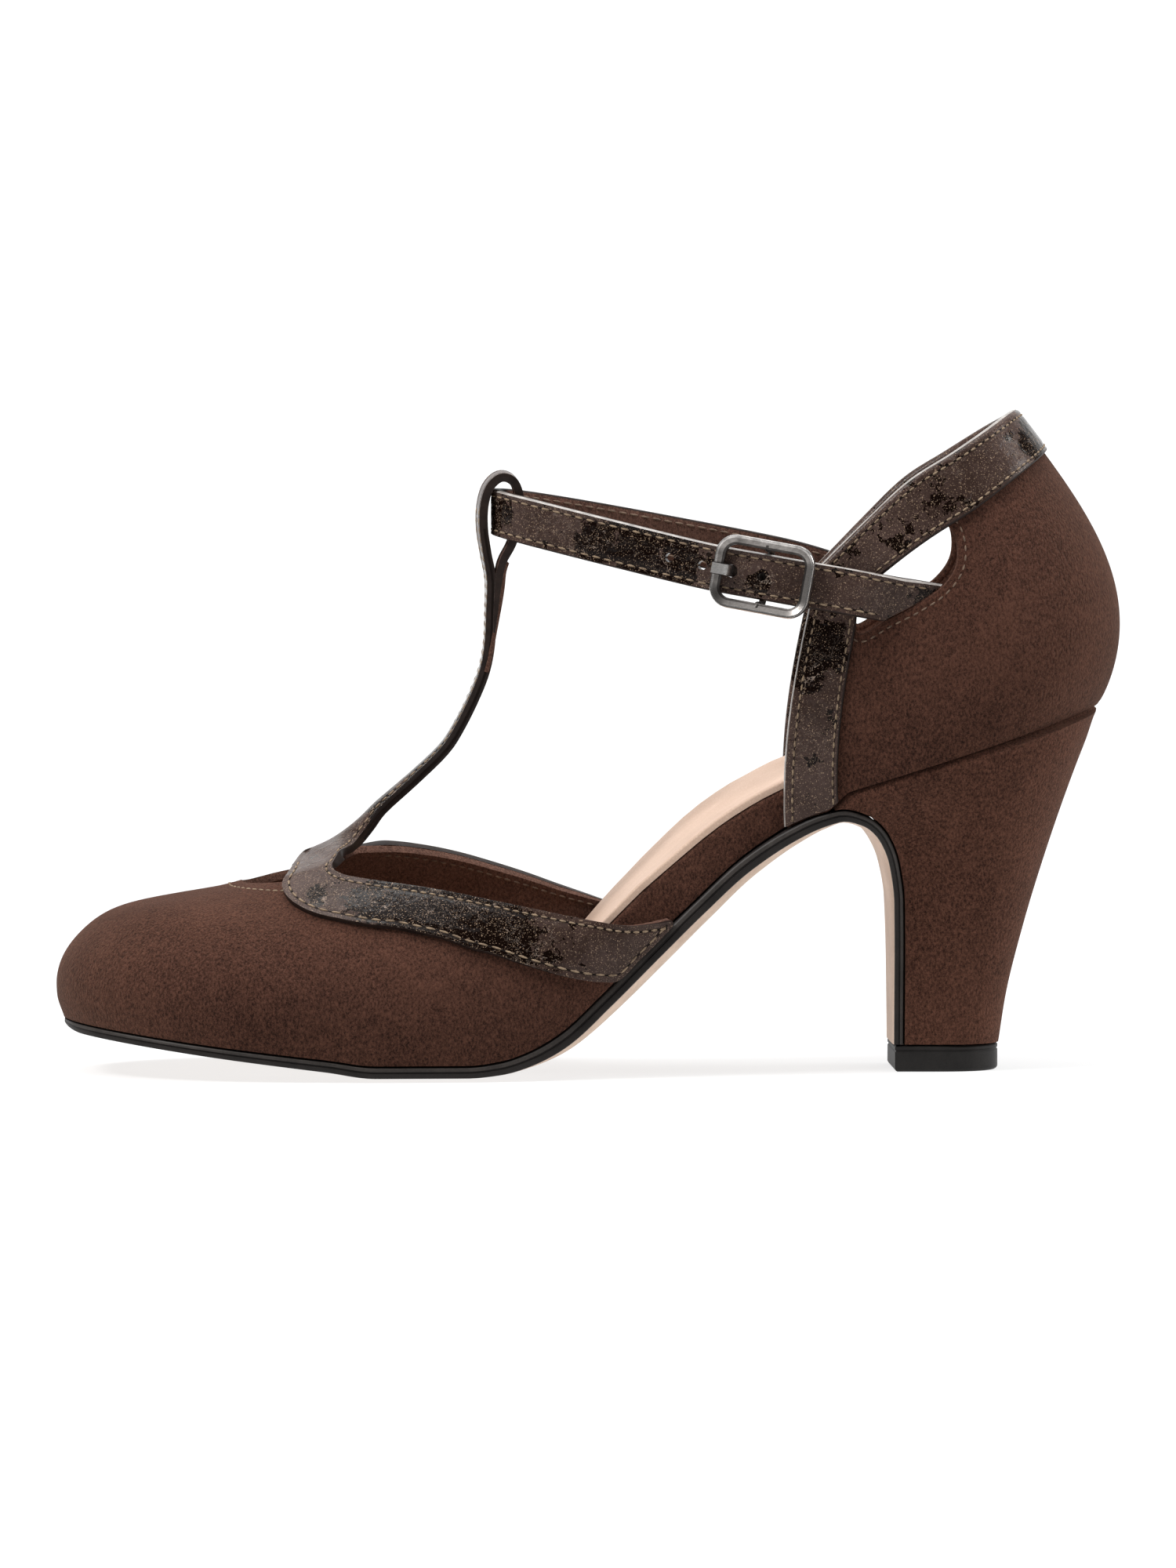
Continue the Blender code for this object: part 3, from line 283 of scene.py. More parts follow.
# Heel cup: x and y at the seat and at the widest level, and x, y and z at the collar
CUP = (
    (41.3, 22.3, 41.9, 24.6, 47.6, 23.6, 104.6),
    (55.0, 25.0, 57.0, 27.2, 58.2, 24.3, 115.0),
    (68.0, 27.5, 72.0, 29.4, 68.0, 24.6, 124.0),
    (82.0, 27.3, 88.0, 29.2, 77.3, 22.8, 129.8),
    (95.0, 22.4, 101.2, 23.4, 85.2, 17.6, 134.8),
    (104.8, 12.4, 109.5, 12.8, 89.9, 9.4, 137.7),
    (108.7, 0.0, 112.3, 0.0, 91.5, 0.0, 138.6),
)

# Window in each side of the heel cup, in side view
WINDOW = (
    (56.0, 103.3), (62.7, 109.4), (69.0, 114.7), (74.1, 117.1),
    (76.6, 113.9), (76.6, 108.2), (73.4, 103.4), (67.8, 99.6),
    (61.6, 96.4), (56.4, 93.4), (55.0, 95.4),
)

# Heel: its back line and greatest half width against the share of its height
HEEL = Table(
    "share back_x back_z half",
    (
        (0.0, 87.6, 5.8, 12.2),
        (0.15, 89.2, 16.0, 13.0),
        (0.35, 92.9, 31.0, 15.4),
        (0.55, 97.4, 46.0, 19.0),
        (0.75, 102.5, 61.0, 23.6),
        (0.9, 106.6, 71.6, 26.8),
        (1.0, 108.8, 76.4, 28.0),
    ),
)

# Outer face of the T-strap from the bridge, up the instep, round the loop and down its tail
SPINE = (
    (-60.6, 46.2), (-58.3, 47.3), (-55.0, 48.8), (-51.7, 50.9),
    (-48.3, 53.7), (-45.0, 57.0), (-38.3, 62.7), (-31.7, 68.9),
    (-28.3, 73.9), (-25.0, 80.4), (-23.0, 85.6), (-22.0, 91.0),
    (-21.7, 97.3), (-21.6, 104.0), (-22.5, 109.5), (-23.3, 115.0),
    (-23.2, 120.0), (-22.0, 124.2), (-19.6, 126.7), (-17.0, 127.0),
    (-14.7, 125.3), (-13.6, 121.6), (-13.9, 116.5), (-15.3, 111.6),
    (-17.5, 107.4), (-18.5, 102.5), (-19.2, 97.0), (-19.7, 93.0),
)

# Ankle strap from its outer end, round the front and to its inner end: x, y of both edges and z
STRAP = (
    (80.0, -25.2, -25.4, 97.9), (73.0, -25.5, -26.2, 99.2),
    (68.0, -25.8, -27.6, 100.1), (64.0, -26.2, -29.0, 100.8),
    (60.0, -28.4, -30.0, 101.5), (56.0, -30.2, -29.8, 102.2),
    (51.0, -30.3, -29.2, 103.1), (45.0, -29.4, -28.5, 104.1),
    (36.0, -27.6, -26.9, 105.7), (24.0, -24.2, -23.8, 107.9),
    (7.5, -18.9, -18.7, 111.8), (-5.6, -13.8, -13.6, 115.0),
    (-14.8, -8.2, -8.0, 117.3), (-19.5, 0.4, 0.4, 118.6),
    (-14.8, 9.0, 8.8, 118.1), (-5.6, 14.4, 14.2, 116.6),
    (7.5, 19.4, 19.2, 114.2), (24.0, 24.4, 24.0, 111.0),
    (36.0, 27.6, 26.9, 108.6), (45.0, 29.4, 28.4, 106.6),
    (53.0, 30.6, 29.7, 104.2), (58.5, 30.4, 30.1, 101.8),
    (62.8, 28.9, 30.2, 99.6), (66.8, 26.8, 30.0, 97.9),
    (70.8, 25.9, 28.4, 96.7), (75.8, 25.5, 26.2, 95.5),
    (82.8, 25.2, 25.4, 94.2),
)
STRAP_FRONT = 13.0
STRAP_LAST = len(STRAP) - 1.0
STRAP_HOLES_X = (16.6, 23.4)

# Front corner of the T-piece's wing in side view: outer edge and inner edge
WING_CORNER = (
    (-54.0, 33.5, -50.0, 41.5), (-58.3, 34.4, -51.8, 41.8),
    (-61.6, 35.7, -53.0, 42.2), (-63.8, 37.2, -53.8, 42.6),
    (-64.8, 38.8, -54.2, 43.0), (-64.6, 40.2, -54.3, 43.4),
    (-63.6, 41.4, -54.2, 43.9),
)

# Inner edge of the bridge beside the foot of the T-strap, in side view
BRIDGE_EDGE = (
    (-53.9, 44.4), (-53.3, 45.2), (-52.4, 46.3),
)

# T-strap along the points of its spine: half width, how far its edges drop and thickness
STRAP_SHAPE = Table(
    "at half drop thick",
    (
        (3.0, 7.4, 3.0, 2.0),
        (4.0, 5.9, 2.0, 2.0),
        (5.0, 5.0, 1.2, 2.0),
        (6.0, 4.7, 0.8, 2.0),
        (8.0, 4.5, 0.4, 2.0),
        (12.0, 4.4, 0.0, 2.0),
        (14.0, 4.4, 0.0, 1.6),
        (23.0, 4.4, 0.0, 1.6),
        (25.0, 4.4, 0.0, 1.2),
        (26.0, 4.4, 0.0, 0.7),
        (27.0, 4.3, 0.0, 0.3),
    ),
)


def smooth(t):
    t = min(1.0, max(0.0, t))
    return t * t * (3.0 - 2.0 * t)


def change(x, place):
    """Smooth change from 0 to 1 that starts at an x and takes a run."""
    return smooth((x - place[0]) / place[1])


def mix(a, b, t):
    return a + (b - a) * t


CURVE_STEPS = 24


def curve_at(points, key, closed=False):
    """Point of a smooth curve through the points, with key running over their numbers."""
    count = len(points)
    if not closed:
        key = min(max(key, 0.0), count - 1.0)
    i = math.floor(key)
    if not closed:
        i = min(i, count - 2)
    t = key - i

    def take(k):
        if closed:
            return points[k % count]
        if k < 0:
            return points[0] * 2.0 - points[1]
        if k > count - 1:
            return points[-1] * 2.0 - points[-2]
        return points[k]

    a, b, c, d = take(i - 1), take(i), take(i + 1), take(i + 2)
    straight = b * 2.0 + (c - a) * t
    bent = (a * 2.0 - b * 5.0 + c * 4.0 - d) * t * t + (b * 3.0 - a - c * 3.0 + d) * t**3
    return (straight + bent) * 0.5


def runs_of(points):
    """Lengths along a row of points, from its first one."""
    runs = [0.0]
    for a, b in zip(points, points[1:]):
        runs.append(runs[-1] + (b - a).length)
    return runs


def span_at(runs, want):
    """Number of the span that holds a length along a row of points, and the share of the span."""
    i = min(max(bisect.bisect_left(runs, want) - 1, 0), len(runs) - 2)
    return i, (want - runs[i]) / max(1e-6, runs[i + 1] - runs[i])


def at_run(points, runs, want):
    i, share = span_at(runs, want)
    return i, points[i].lerp(points[i + 1], share)


def even_keys(points, count, closed=False):
    """Keys that space a smooth curve evenly along its length."""
    spans = len(points) if closed else len(points) - 1
    fine = [i / CURVE_STEPS for i in range(spans * CURVE_STEPS + 1)]
    runs = runs_of([curve_at(points, key, closed) for key in fine])
    steps = count if closed else count - 1
    keys = []
    for i in range(count):
        j, share = span_at(runs, runs[-1] * i / steps)
        keys.append(mix(fine[j], fine[j + 1], share))
    return keys


def find_on(surface, x, z, low, high):
    """Place on a surface, between two of its ribs, that side view shows at x and z."""
    for _ in range(24):
        u = 0.5 * (low + high)
        below, above = 0.0, 1.0
        for _ in range(22):
            v = 0.5 * (below + above)
            if surface(u, v).z < z:
                below = v
            else:
                above = v
        if surface(u, v).x < x:
            low = u
        else:
            high = u
    return u, v


def slope_normal(before, after):
    """Upward normal, in side view, of a line that runs from one point to another."""
    run = Vector((after.x - before.x, 0.0, after.z - before.z)).normalized()
    return Vector((-run.z, 0.0, run.x))


def sole_edge(x, side):
    """Distance of the sole's edge from the long axis, side -1 outer and 1 inner."""
    name = "lateral" if side < 0 else "medial"
    if x >= TOE_END_X:
        return SOLE_EDGE.at(name, x)
    full = SOLE_EDGE.at(name, TOE_END_X) - side * TOE_Y
    share = min(1.0, (TOE_END_X - x) / (TOE_END_X - TOE_X))
    return side * TOE_Y + full * (1.0 - share**TOE_POWER) ** (1.0 / TOE_POWER)


def seat_z(x):
    return SEAT_REF_Z + (x - SEAT_REF_X) * SEAT_SLOPE


def last_z(x):
    """Height of the feather edge: just over the sole, then over the heel seat."""
    low = SOLE_EDGE.at("z", x) + GAP
    return mix(low, seat_z(x), change(x, SEAT_BLEND))


def cup_lines():
    """Lines of the heel cup from the outer front, round the back, to the inner front."""
    seat, mid, collar = [], [], []
    for seat_x, seat_y, mid_x, mid_y, collar_x, collar_y, collar_z in CUP:
        seat.append(Vector((seat_x, -seat_y, 0.0)))
        mid.append(Vector((mid_x, -mid_y, 0.0)))
        collar.append(Vector((collar_x, -collar_y, collar_z)))
    back = len(seat) - 1
    row_run = seat[1].x - seat[0].x
    for i in reversed(range(back)):
        share = INNER_BACK * (1.0 - i / back)
        for line in (seat, mid):
            line.append(curve_at(line[: back + 1], i + share / row_run) * Vector((1.0, -1.0, 1.0)))
        collar.append(collar[i] * Vector((1.0, -1.0, 1.0)) + Vector((share, 0.0, 0.0)))
    return seat, mid, collar


SEAT_LINE, MID_LINE, COLLAR_LINE = cup_lines()
CUP_LAST = len(SEAT_LINE) - 1


def cup(u, v):
    """Outer face of the heel cup: u 0 to 1 from the outer front edge round to the inner one."""
    key = u * CUP_LAST
    seat = curve_at(SEAT_LINE, key)
    seat.z = last_z(seat.x)
    collar = curve_at(COLLAR_LINE, key)
    mid = curve_at(MID_LINE, key)
    bulge = mid - seat.lerp(collar, BULGE_AT)
    bulge.z = 0.0
    peak = math.sin(math.pi * BULGE_AT**BULGE_POWER)
    share = math.sin(math.pi * min(1.0, max(0.0, v)) ** BULGE_POWER) / peak
    return seat.lerp(collar, v) + bulge * share


def surface_normal(surface, u, v, step=0.004):
    u0, u1 = max(0.0, u - step), min(1.0, u + step)
    v0, v1 = max(0.0, v - step), min(1.0, v + step)
    along = surface(u1, v) - surface(u0, v)
    up = surface(u, v1) - surface(u, v0)
    return along.cross(up).normalized()


def cup_off(u, v, off):
    return cup(u, v) + surface_normal(cup, u, v) * off


def cup_rise(u):
    """Length of the heel cup's wall from seat to collar at u."""
    return runs_of([cup(u, i / 12.0) for i in range(13)])[-1]


def cup_round(v):
    """Length round the heel cup at v."""
    return runs_of([cup(i / 48.0, v) for i in range(49)])[-1]


def feather_points(side):
    """Feather edge from the toe to the rear end of the vamp, evenly spaced points."""
    count = 160
    points = []
    for i in range(count + 1):
        x = TOE_X + (VAMP_REAR_X - TOE_X) * (i / count) ** 2
        points.append(Vector((x, side * sole_edge(x, side), last_z(x))))
    return points


FEATHER = {side: feather_points(side) for side in (-1, 1)}
FEATHER_RUNS = {side: runs_of(FEATHER[side]) for side in (-1, 1)}


def feather_at(side, share):
    runs = FEATHER_RUNS[side]
    return at_run(FEATHER[side], runs, runs[-1] * share)[1]


def ridge_at(x):
    return Vector((x, RIDGE.at("y", x), RIDGE.at("z", x)))


def last_rib(u):
    """Foot and top of the rib at u, -1 outer rear, 0 toe, 1 inner rear."""
    side = -1 if u < 0 else 1
    foot = feather_at(side, abs(u))
    reach = (FAN_END_X - FAN_START_X) / (FAN_END_X - TOE_X)
    x = foot.x
    if foot.x < FAN_END_X:
        x = FAN_START_X + (foot.x - TOE_X) * reach
    toe = 1.0 - change(foot.x, TOE_BLEND)
    return foot, ridge_at(x), toe


def even_rib(name):
    """Column of the rib table read at even steps, smoothed so that the toe shows no flats."""
    column = []
    for i in range(RIB_STEPS + 1):
        v = i / RIB_STEPS
        reach = min(RIB_REACH, 0.5 * v, 0.5 * (1.0 - v))
        total = 6.0 * RIB.at(name, v)
        for steps, weight in ((1.0, 4.0), (2.0, 1.0)):
            total += weight * (RIB.at(name, v - steps * reach) + RIB.at(name, v + steps * reach))
        column.append(total / 16.0)
    return column


EVEN_RIB = {name: even_rib(name) for name in ("side_in", "side_up", "toe_in", "toe_up")}


def rib_share(name, v):
    place = RIB_STEPS * min(1.0, max(0.0, v))
    i = min(RIB_STEPS - 1, int(place))
    return mix(EVEN_RIB[name][i], EVEN_RIB[name][i + 1], place - i)


def last(u, v):
    """Outer face of the last: v 0 at the feather edge, 1 on the instep line."""
    foot, top, toe = last_rib(u)
    inward = mix(rib_share("side_in", v), rib_share("toe_in", v), toe)
    upward = mix(rib_share("side_up", v), rib_share("toe_up", v), toe)
    point = foot.lerp(top, inward)
    point.z = mix(foot.z, top.z, upward)
    return point


def last_normal(u, v):
    step = 0.006
    u0, u1 = max(-1.0, u - step), min(1.0, u + step)
    v0, v1 = max(0.0, v - step), min(1.0, v + step)
    along = last(u1, v) - last(u0, v)
    up = last(u, v1) - last(u, v0)
    normal = up.cross(along)
    if normal.length < 1e-9:
        return Vector((0.0, 0.0, 1.0))
    return normal.normalized()


def last_off(u, v, off):
    return last(u, v) + last_normal(u, v) * off


def topline_v(u):
    """Where the rib at u meets the vamp's top edge."""
    name = "lateral" if u < 0 else "medial"
    low, high = 0.0, 1.0
    for _ in range(26):
        v = 0.5 * (low + high)
        point = last(u, v)
        across = point.y - RIDGE.at("y", THROAT_FRONT_X)
        front = THROAT_FRONT_X + across * across / (2.0 * KEYHOLE_RADIUS)
        if point.x < front or point.z < TOPLINE.at(name, point.x):
            low = v
        else:
            high = v
    return max(low, TOPLINE_LEAST)


def sole_point(run):
    return Vector((SOLE.at("x", run), 0.0, SOLE.at("z", run)))


def sole_normal(run):
    return slope_normal(sole_point(max(0.0, run - 0.4)), sole_point(min(SOLE.length, run + 0.4)))


def cup_half_at(x, inset=0.0):
    """Half width of the heel seat at x, inside its edge by the inset."""
    keys, halves = [], []
    for k in range(121):
        here = curve_at(SEAT_LINE, k * 0.05)
        run = curve_at(SEAT_LINE, k * 0.05 + 0.02) - curve_at(SEAT_LINE, k * 0.05 - 0.02)
        run.z = 0.0
        run.normalize()
        keys.append(here.x - run.y * inset)
        halves.append(-here.y - run.x * inset)
    return monotone(keys, halves, x)


def heel_outline(front, back, front_half, half, sides):
    """D-shaped ring from the outer front corner round the back to the inner front corner."""
    ring = []
    for share in sides:
        if share < HEEL_WIDEST:
            wide = mix(front_half, half, smooth(share / HEEL_WIDEST))
        else:
            behind = (share - HEEL_WIDEST) / (1.0 - HEEL_WIDEST)
            wide = half * (1.0 - behind**HEEL_POWER) ** (1.0 / HEEL_POWER)
        ring.append((front.lerp(back, share), wide))
    outer = [point + Vector((0.0, -wide, 0.0)) for point, wide in ring]
    inner = [point + Vector((0.0, wide, 0.0)) for point, wide in reversed(ring[:-1])]
    return outer + inner


def heel_front(share):
    """Point of the heel's front line, just behind the outsole's flap."""
    run = mix(SOLE.length, SOLE.key[BREAST_ROW] - BREAST_GAP, share)
    return sole_point(run) + sole_normal(run) * GAP, SOLE.at("lateral", run)


# Board: its inset, and x and run of its changes: inside the vamp, inside the cup,
# to the cup's width and up to the seat
BOARD_INSET = 1.2
BOARD_IN_VAMP = (VAMP_REAR_X + 0.8, 3.0)
BOARD_IN_CUP = (QUARTER_FRONT_X - 4.0, 3.2)
BOARD_TO_CUP = (QUARTER_FRONT_X - 18.0, 17.2)
BOARD_RISE = (40.0, 16.0)


def board_inset(x):
    """How far the board's edge stays inside the sole's edge: more where a wall stands round it."""
    inside_vamp = 1.0 - change(x, BOARD_IN_VAMP)
    inside_cup = change(x, BOARD_IN_CUP)
    return BOARD_INSET * (1.0 + max(inside_vamp, inside_cup))


def board_z(x):
    """Underside of the board: on the sole, then rising smoothly on to the heel seat."""
    return mix(SOLE_EDGE.at("z", x) + GAP, seat_z(x), change(x, BOARD_RISE)) + GAP


def board_line(x):
    before = Vector((x - 0.5, 0.0, board_z(x - 0.5)))
    after = Vector((x + 0.5, 0.0, board_z(x + 0.5)))
    return Vector((x, 0.0, board_z(x))), slope_normal(before, after)


def window_back(side):
    return INNER_WINDOW_BACK if side > 0 else 0.0


def window_outline(inset, count):
    """Side-view outline of the window, smaller by the inset."""
    points = [Vector((x, 0.0, z)) for x, z in WINDOW]
    outline = []
    for key in even_keys(points, count, closed=True):
        here = curve_at(points, key, closed=True)
        ahead = curve_at(points, key + 0.02, closed=True)
        run = (ahead - here).normalized()
        outline.append((here.x + run.z * inset, here.z - run.x * inset))
    return outline


# Trim: rows up each leg, round the corner and along half of the collar
LEG_ROWS, TURN_ROWS, COLLAR_ROWS = 16, 4, 24
LEG_FOOT = 0.012
LEG_TOP = 0.8
LEG_INNER = 0.83
TURN_EDGE_U = 0.02
TURN_INNER_U = 0.012
TURN_WIDER = 1.1


def trim_rows():
    """Rows across the trim, from the outer foot, round the collar, to the inner foot."""
    half = []
    for i in range(LEG_ROWS):
        v = max(LEG_FOOT, i / LEG_ROWS)
        leg = FRONT_BAND / cup_round(min(LEG_TOP, v))
        half.append(((0.0, v), (leg, v * LEG_INNER)))
    corner = FRONT_BAND / cup_round(LEG_TOP)
    for i in range(TURN_ROWS):
        t = i / TURN_ROWS
        u = t * TURN_EDGE_U
        low = 1.0 - COLLAR_BAND / cup_rise(u) * TURN_WIDER
        half.append(((u, 1.0), (corner + TURN_INNER_U * t, low)))
    for i in range(COLLAR_ROWS + 1):
        u = mix(TURN_EDGE_U, 0.5, i / COLLAR_ROWS)
        inner_u = mix(corner + TURN_INNER_U, 0.5, i / COLLAR_ROWS)
        half.append(((u, 1.0), (inner_u, 1.0 - COLLAR_BAND / cup_rise(inner_u))))
    return half + [tuple((1.0 - u, v) for u, v in row) for row in reversed(half[:-1])]


def on_outer_last(x, z):
    """Rib and level of the outer side's point at x and z in side view."""
    return find_on(lambda u, v: last(-u, v), x, z, 0.05, 0.95)


def wing_low(u, top):
    """Level of the wing's lower edge, its width below the topline."""
    point = last(u, top)
    wide = mix(WING_WIDTH, WING_WIDTH_REAR, change(abs(u), WING_WIDEN))
    run = 0.0
    v = top
    while v > WING_FOOT and run < wide:
        v -= WING_STEP
        here = last(u, v)
        run += (here - point).length
        point = here
    return v


# T-strap's middle line across the foot: at the bridge, at the loop, and the change between
SPINE_Y = (2.8, 0.4)
SPINE_Y_CHANGE = (2.0, 12.0)


def spine_frame(key):
    """Point, outward normal and place across of the T-strap's outer face."""
    points = [Vector((x, 0.0, z)) for x, z in SPINE]
    here = curve_at(points, key)
    normal = slope_normal(curve_at(points, key - 0.05), curve_at(points, key + 0.05))
    here.y = mix(*SPINE_Y, change(key, SPINE_Y_CHANGE))
    return here, normal


def strap_lines():
    centre, lean = [], []
    for x, y_low, y_high, z in STRAP:
        centre.append(Vector((x, 0.5 * (y_low + y_high), z)))
        lean.append(Vector((0.5 * (y_high - y_low), 0.0, 0.0)))
    return centre, lean


STRAP_CENTRE, STRAP_LEAN = strap_lines()


def strap_frame(key):
    """Centre, run, up and outward directions of the ankle strap."""
    here = curve_at(STRAP_CENTRE, key)
    run = (curve_at(STRAP_CENTRE, key + 0.03) - curve_at(STRAP_CENTRE, key - 0.03)).normalized()
    up = Vector((0.0, 0.0, 1.0)) - run * run.z
    up.normalize()
    lean = curve_at(STRAP_LEAN, key).x
    up = (up * (0.5 * STRAP_WIDTH) + Vector((0.0, lean, 0.0))).normalized()
    return here, run, up, up.cross(run).normalized()


def strap_key(x, side):
    """Key of the strap where it passes x on one side."""
    low, high = (0.0 if side < 0 else STRAP_LAST), STRAP_FRONT
    for _ in range(40):
        key = 0.5 * (low + high)
        if curve_at(STRAP_CENTRE, key).x > x:
            low = key
        else:
            high = key
    return key


SCOOP_STEPS = 60
SCOOP_LOW_Z = 80.0
SCOOP_REAR_X = 110.0


def scoop_outline():
    """Side-view area behind the window's rear edge, where the strap's ends go out of sight."""
    outline = window_outline(GAP, SCOOP_STEPS)
    apex = max(range(SCOOP_STEPS), key=lambda i: outline[i][1])
    foot = min(range(SCOOP_STEPS), key=lambda i: outline[i][1])
    edge = outline[apex : foot + 1] if apex < foot else outline[apex:] + outline[: foot + 1]
    low = [(edge[-1][0], SCOOP_LOW_Z), (SCOOP_REAR_X, SCOOP_LOW_Z)]
    return edge + low + [(SCOOP_REAR_X, edge[0][1])]


def buckle_place():
    """Frame of the buckle: along the strap to the rear, up its width and outward."""
    here, run, up, _ = strap_frame(strap_key(BUCKLE_AT_X, -1))
    run = -run
    up = (up - run * up.dot(run)).normalized()
    out = run.cross(up)
    turn = Matrix((run, up, out)).transposed().to_4x4()
    return Matrix.Translation(here) @ turn


# Making of meshes

PLACE = Matrix.Translation(Vector(CENTRE_SHIFT) * MM) @ Matrix.Scale(MM, 4)
ACROSS = Vector((0.0, 1.0, 0.0))


def sheet_of(columns, rows, place, paint=None):
    """Sheet of squares with each corner put where place says; paint gives a finish by column."""
    bm = bmesh.new()
    bmesh.ops.create_grid(bm, x_segments=columns, y_segments=rows, size=1.0)
    if paint:
        for face in bm.faces:
            across = 0.5 * (face.calc_center_median().x + 1.0)
            face.material_index = paint[int(across * columns)]
    for vert in bm.verts:
        i = round(0.5 * (vert.co.x + 1.0) * columns)
        j = round(0.5 * (vert.co.y + 1.0) * rows)
        vert.co = place(i, j)
    return bm


def loft(rings, paint=None):
    """Closed skin through rings of points, with flat ends."""
    around = len(rings[0])
    bm = sheet_of(around, len(rings) - 1, lambda i, j: rings[j][i % around], paint)
    bmesh.ops.remove_doubles(bm, verts=bm.verts, dist=1e-4)
    ends = [edge for edge in bm.edges if edge.is_boundary]
    bmesh.ops.holes_fill(bm, edges=ends, sides=0)
    bmesh.ops.recalc_face_normals(bm, faces=bm.faces)
    return bm


def sweep(path, square, profile, closed=False):
    """Rings of a profile carried along a path, with square as the way its second size points."""
    rings = []
    count = len(path)
    for i, here in enumerate(path):
        before = path[i - 1] if closed or i > 0 else here
        after = path[(i + 1) % count] if closed or i < count - 1 else here
        run = (after - before).normalized()
        facing = square[i] if isinstance(square, list) else square
        side = run.cross(facing).normalized()
        rings.append([here + side * across + facing * out for across, out in profile])
    return rings + rings[:1] if closed else rings


def round_profile(radius, sides):
    turns = [2.0 * math.pi * (k + 0.5) / sides for k in range(sides)]
    return [(radius * math.cos(turn), radius * math.sin(turn)) for turn in turns]


def new_object(name, bm):
    """Object in the scene with the mesh in the making."""
    mesh = bpy.data.meshes.new(name)
    bm.to_mesh(mesh)
    bm.free()
    obj = bpy.data.objects.new(name, mesh)
    bpy.context.scene.collection.objects.link(obj)
    return obj


def piece(name, bm, finishes, slot, *nodes, sharp=55.0):
    """Puts a mesh on the shoe with its finishes, and hides the imported solids it stands for. The
    slot is not used.
    """
    bm.transform(PLACE)
    for face in bm.faces:
        face.smooth = True
    obj = new_object(name, bm)
    obj.data.set_sharp_from_angle(angle=math.radians(sharp))
    for finish in finishes:
        obj.data.materials.append(finish)
    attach(obj, "root")
    if nodes:
        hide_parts(*nodes)
    return obj


def wall(obj, thick, group=None):
    """Gives a sheet its thickness: the second finish inside and the third on its edges."""
    solid = obj.modifiers.new("wall", "SOLIDIFY")
    solid.thickness = thick * MM
    solid.offset = -1.0
    solid.use_even_offset = True
    solid.use_quality_normals = True
    solid.material_offset = 1
    solid.material_offset_rim = 2
    if group:
        solid.vertex_group = group


def soft_edge(obj, width, finish=-1):
    soft = obj.modifiers.new("soft_edge", "BEVEL")
    soft.width = width * MM
    soft.segments = 3
    soft.material = finish
    soft.limit_method = "ANGLE"
    soft.angle_limit = math.radians(50.0)


def cut(obj, cutters):
    """Cuts shapes out of a piece for good, and removes the cutters."""
    tools = []
    for bm in cutters:
        bm.transform(PLACE)
        tool = new_object("cutter", bm)
        hole = obj.modifiers.new("hole", "BOOLEAN")
        hole.operation = "DIFFERENCE"
        hole.solver = "EXACT"
        hole.object = tool
        tools.append(tool)
    settled = obj.evaluated_get(bpy.context.evaluated_depsgraph_get())
    mesh = bpy.data.meshes.new_from_object(settled)
    obj.modifiers.clear()
    obj.data = mesh
    mesh.set_sharp_from_angle(angle=math.radians(50.0))
    for tool in tools:
        bpy.data.objects.remove(tool, do_unlink=True)


def side_prism(outline, y0, y1):
    """Cutter with a side-view outline, running across the shoe."""
    bm = bmesh.new()
    bmesh.ops.create_circle(bm, cap_ends=True, segments=len(outline), radius=1.0)
    bm.verts.ensure_lookup_table()
    for vert, (x, z) in zip(bm.verts, outline):
        vert.co = Vector((x, y0, z))
    made = bmesh.ops.extrude_face_region(bm, geom=bm.faces[:])
    moved = [item for item in made["geom"] if isinstance(item, bmesh.types.BMVert)]
    bmesh.ops.translate(bm, verts=moved, vec=ACROSS * (y1 - y0))
    bmesh.ops.recalc_face_normals(bm, faces=bm.faces)
    return bm


def punch(centre, axis, radius):
    """Round cutter through a strap."""
    bm = bmesh.new()
    turn = Vector((0.0, 0.0, 1.0)).rotation_difference(axis).to_matrix().to_4x4()
    place = Matrix.Translation(centre) @ turn
    bmesh.ops.create_cone(
        bm, cap_ends=True, segments=24, radius1=radius, radius2=radius, depth=6.0, matrix=place
    )
    return bm


SEAM_STEPS = 8


class Band:
    """Smooth strip through rows of points: key runs along it, share across it."""

    def __init__(self, rows):
        self.lines = [list(line) for line in zip(*rows)]
        self.end = len(rows) - 1.0
        self.columns = len(self.lines) - 1

    def at(self, key, share):
        place = min(1.0, max(0.0, share)) * self.columns
        k = min(int(place), self.columns - 1)
        return curve_at(self.lines[k], key).lerp(curve_at(self.lines[k + 1], key), place - k)

    def out(self, key, share):
        along = self.at(key + 0.05, share) - self.at(key - 0.05, share)
        over = self.at(key, share + 0.04) - self.at(key, share - 0.04)
        return over.cross(along).normalized()

    def width(self, key):
        return runs_of([curve_at(line, key) for line in self.lines])[-1]

    def seam(self, start, stop, inset, from_far, turn):
        """Points and outward directions of a line that keeps its distance from one edge."""
        path = []
        for i in range(int((stop - start) * SEAM_STEPS) + 1):
            key = start + i / SEAM_STEPS
            share = inset / self.width(key)
            share = 1.0 - share if from_far else share
            path.append((self.at(key, share), self.out(key, share) * turn))
        return path


# Stitches: share of the pitch that shows, width and half height; and the strip of painted shade in
# the dip they draw, in section
STITCH_SHARE = 0.76
STITCH_WIDE = 0.5
STITCH_HIGH = 0.24
SHADE_STRIP_SECTION = ((-0.24, -0.06), (0.24, -0.06), (0.24, 0.03), (-0.24, 0.03))


def join(whole, part):
    """Adds one mesh in the making to another."""
    mesh = bpy.data.meshes.new("part")
    part.to_mesh(mesh)
    part.free()
    whole.from_mesh(mesh)
    bpy.data.meshes.remove(mesh)


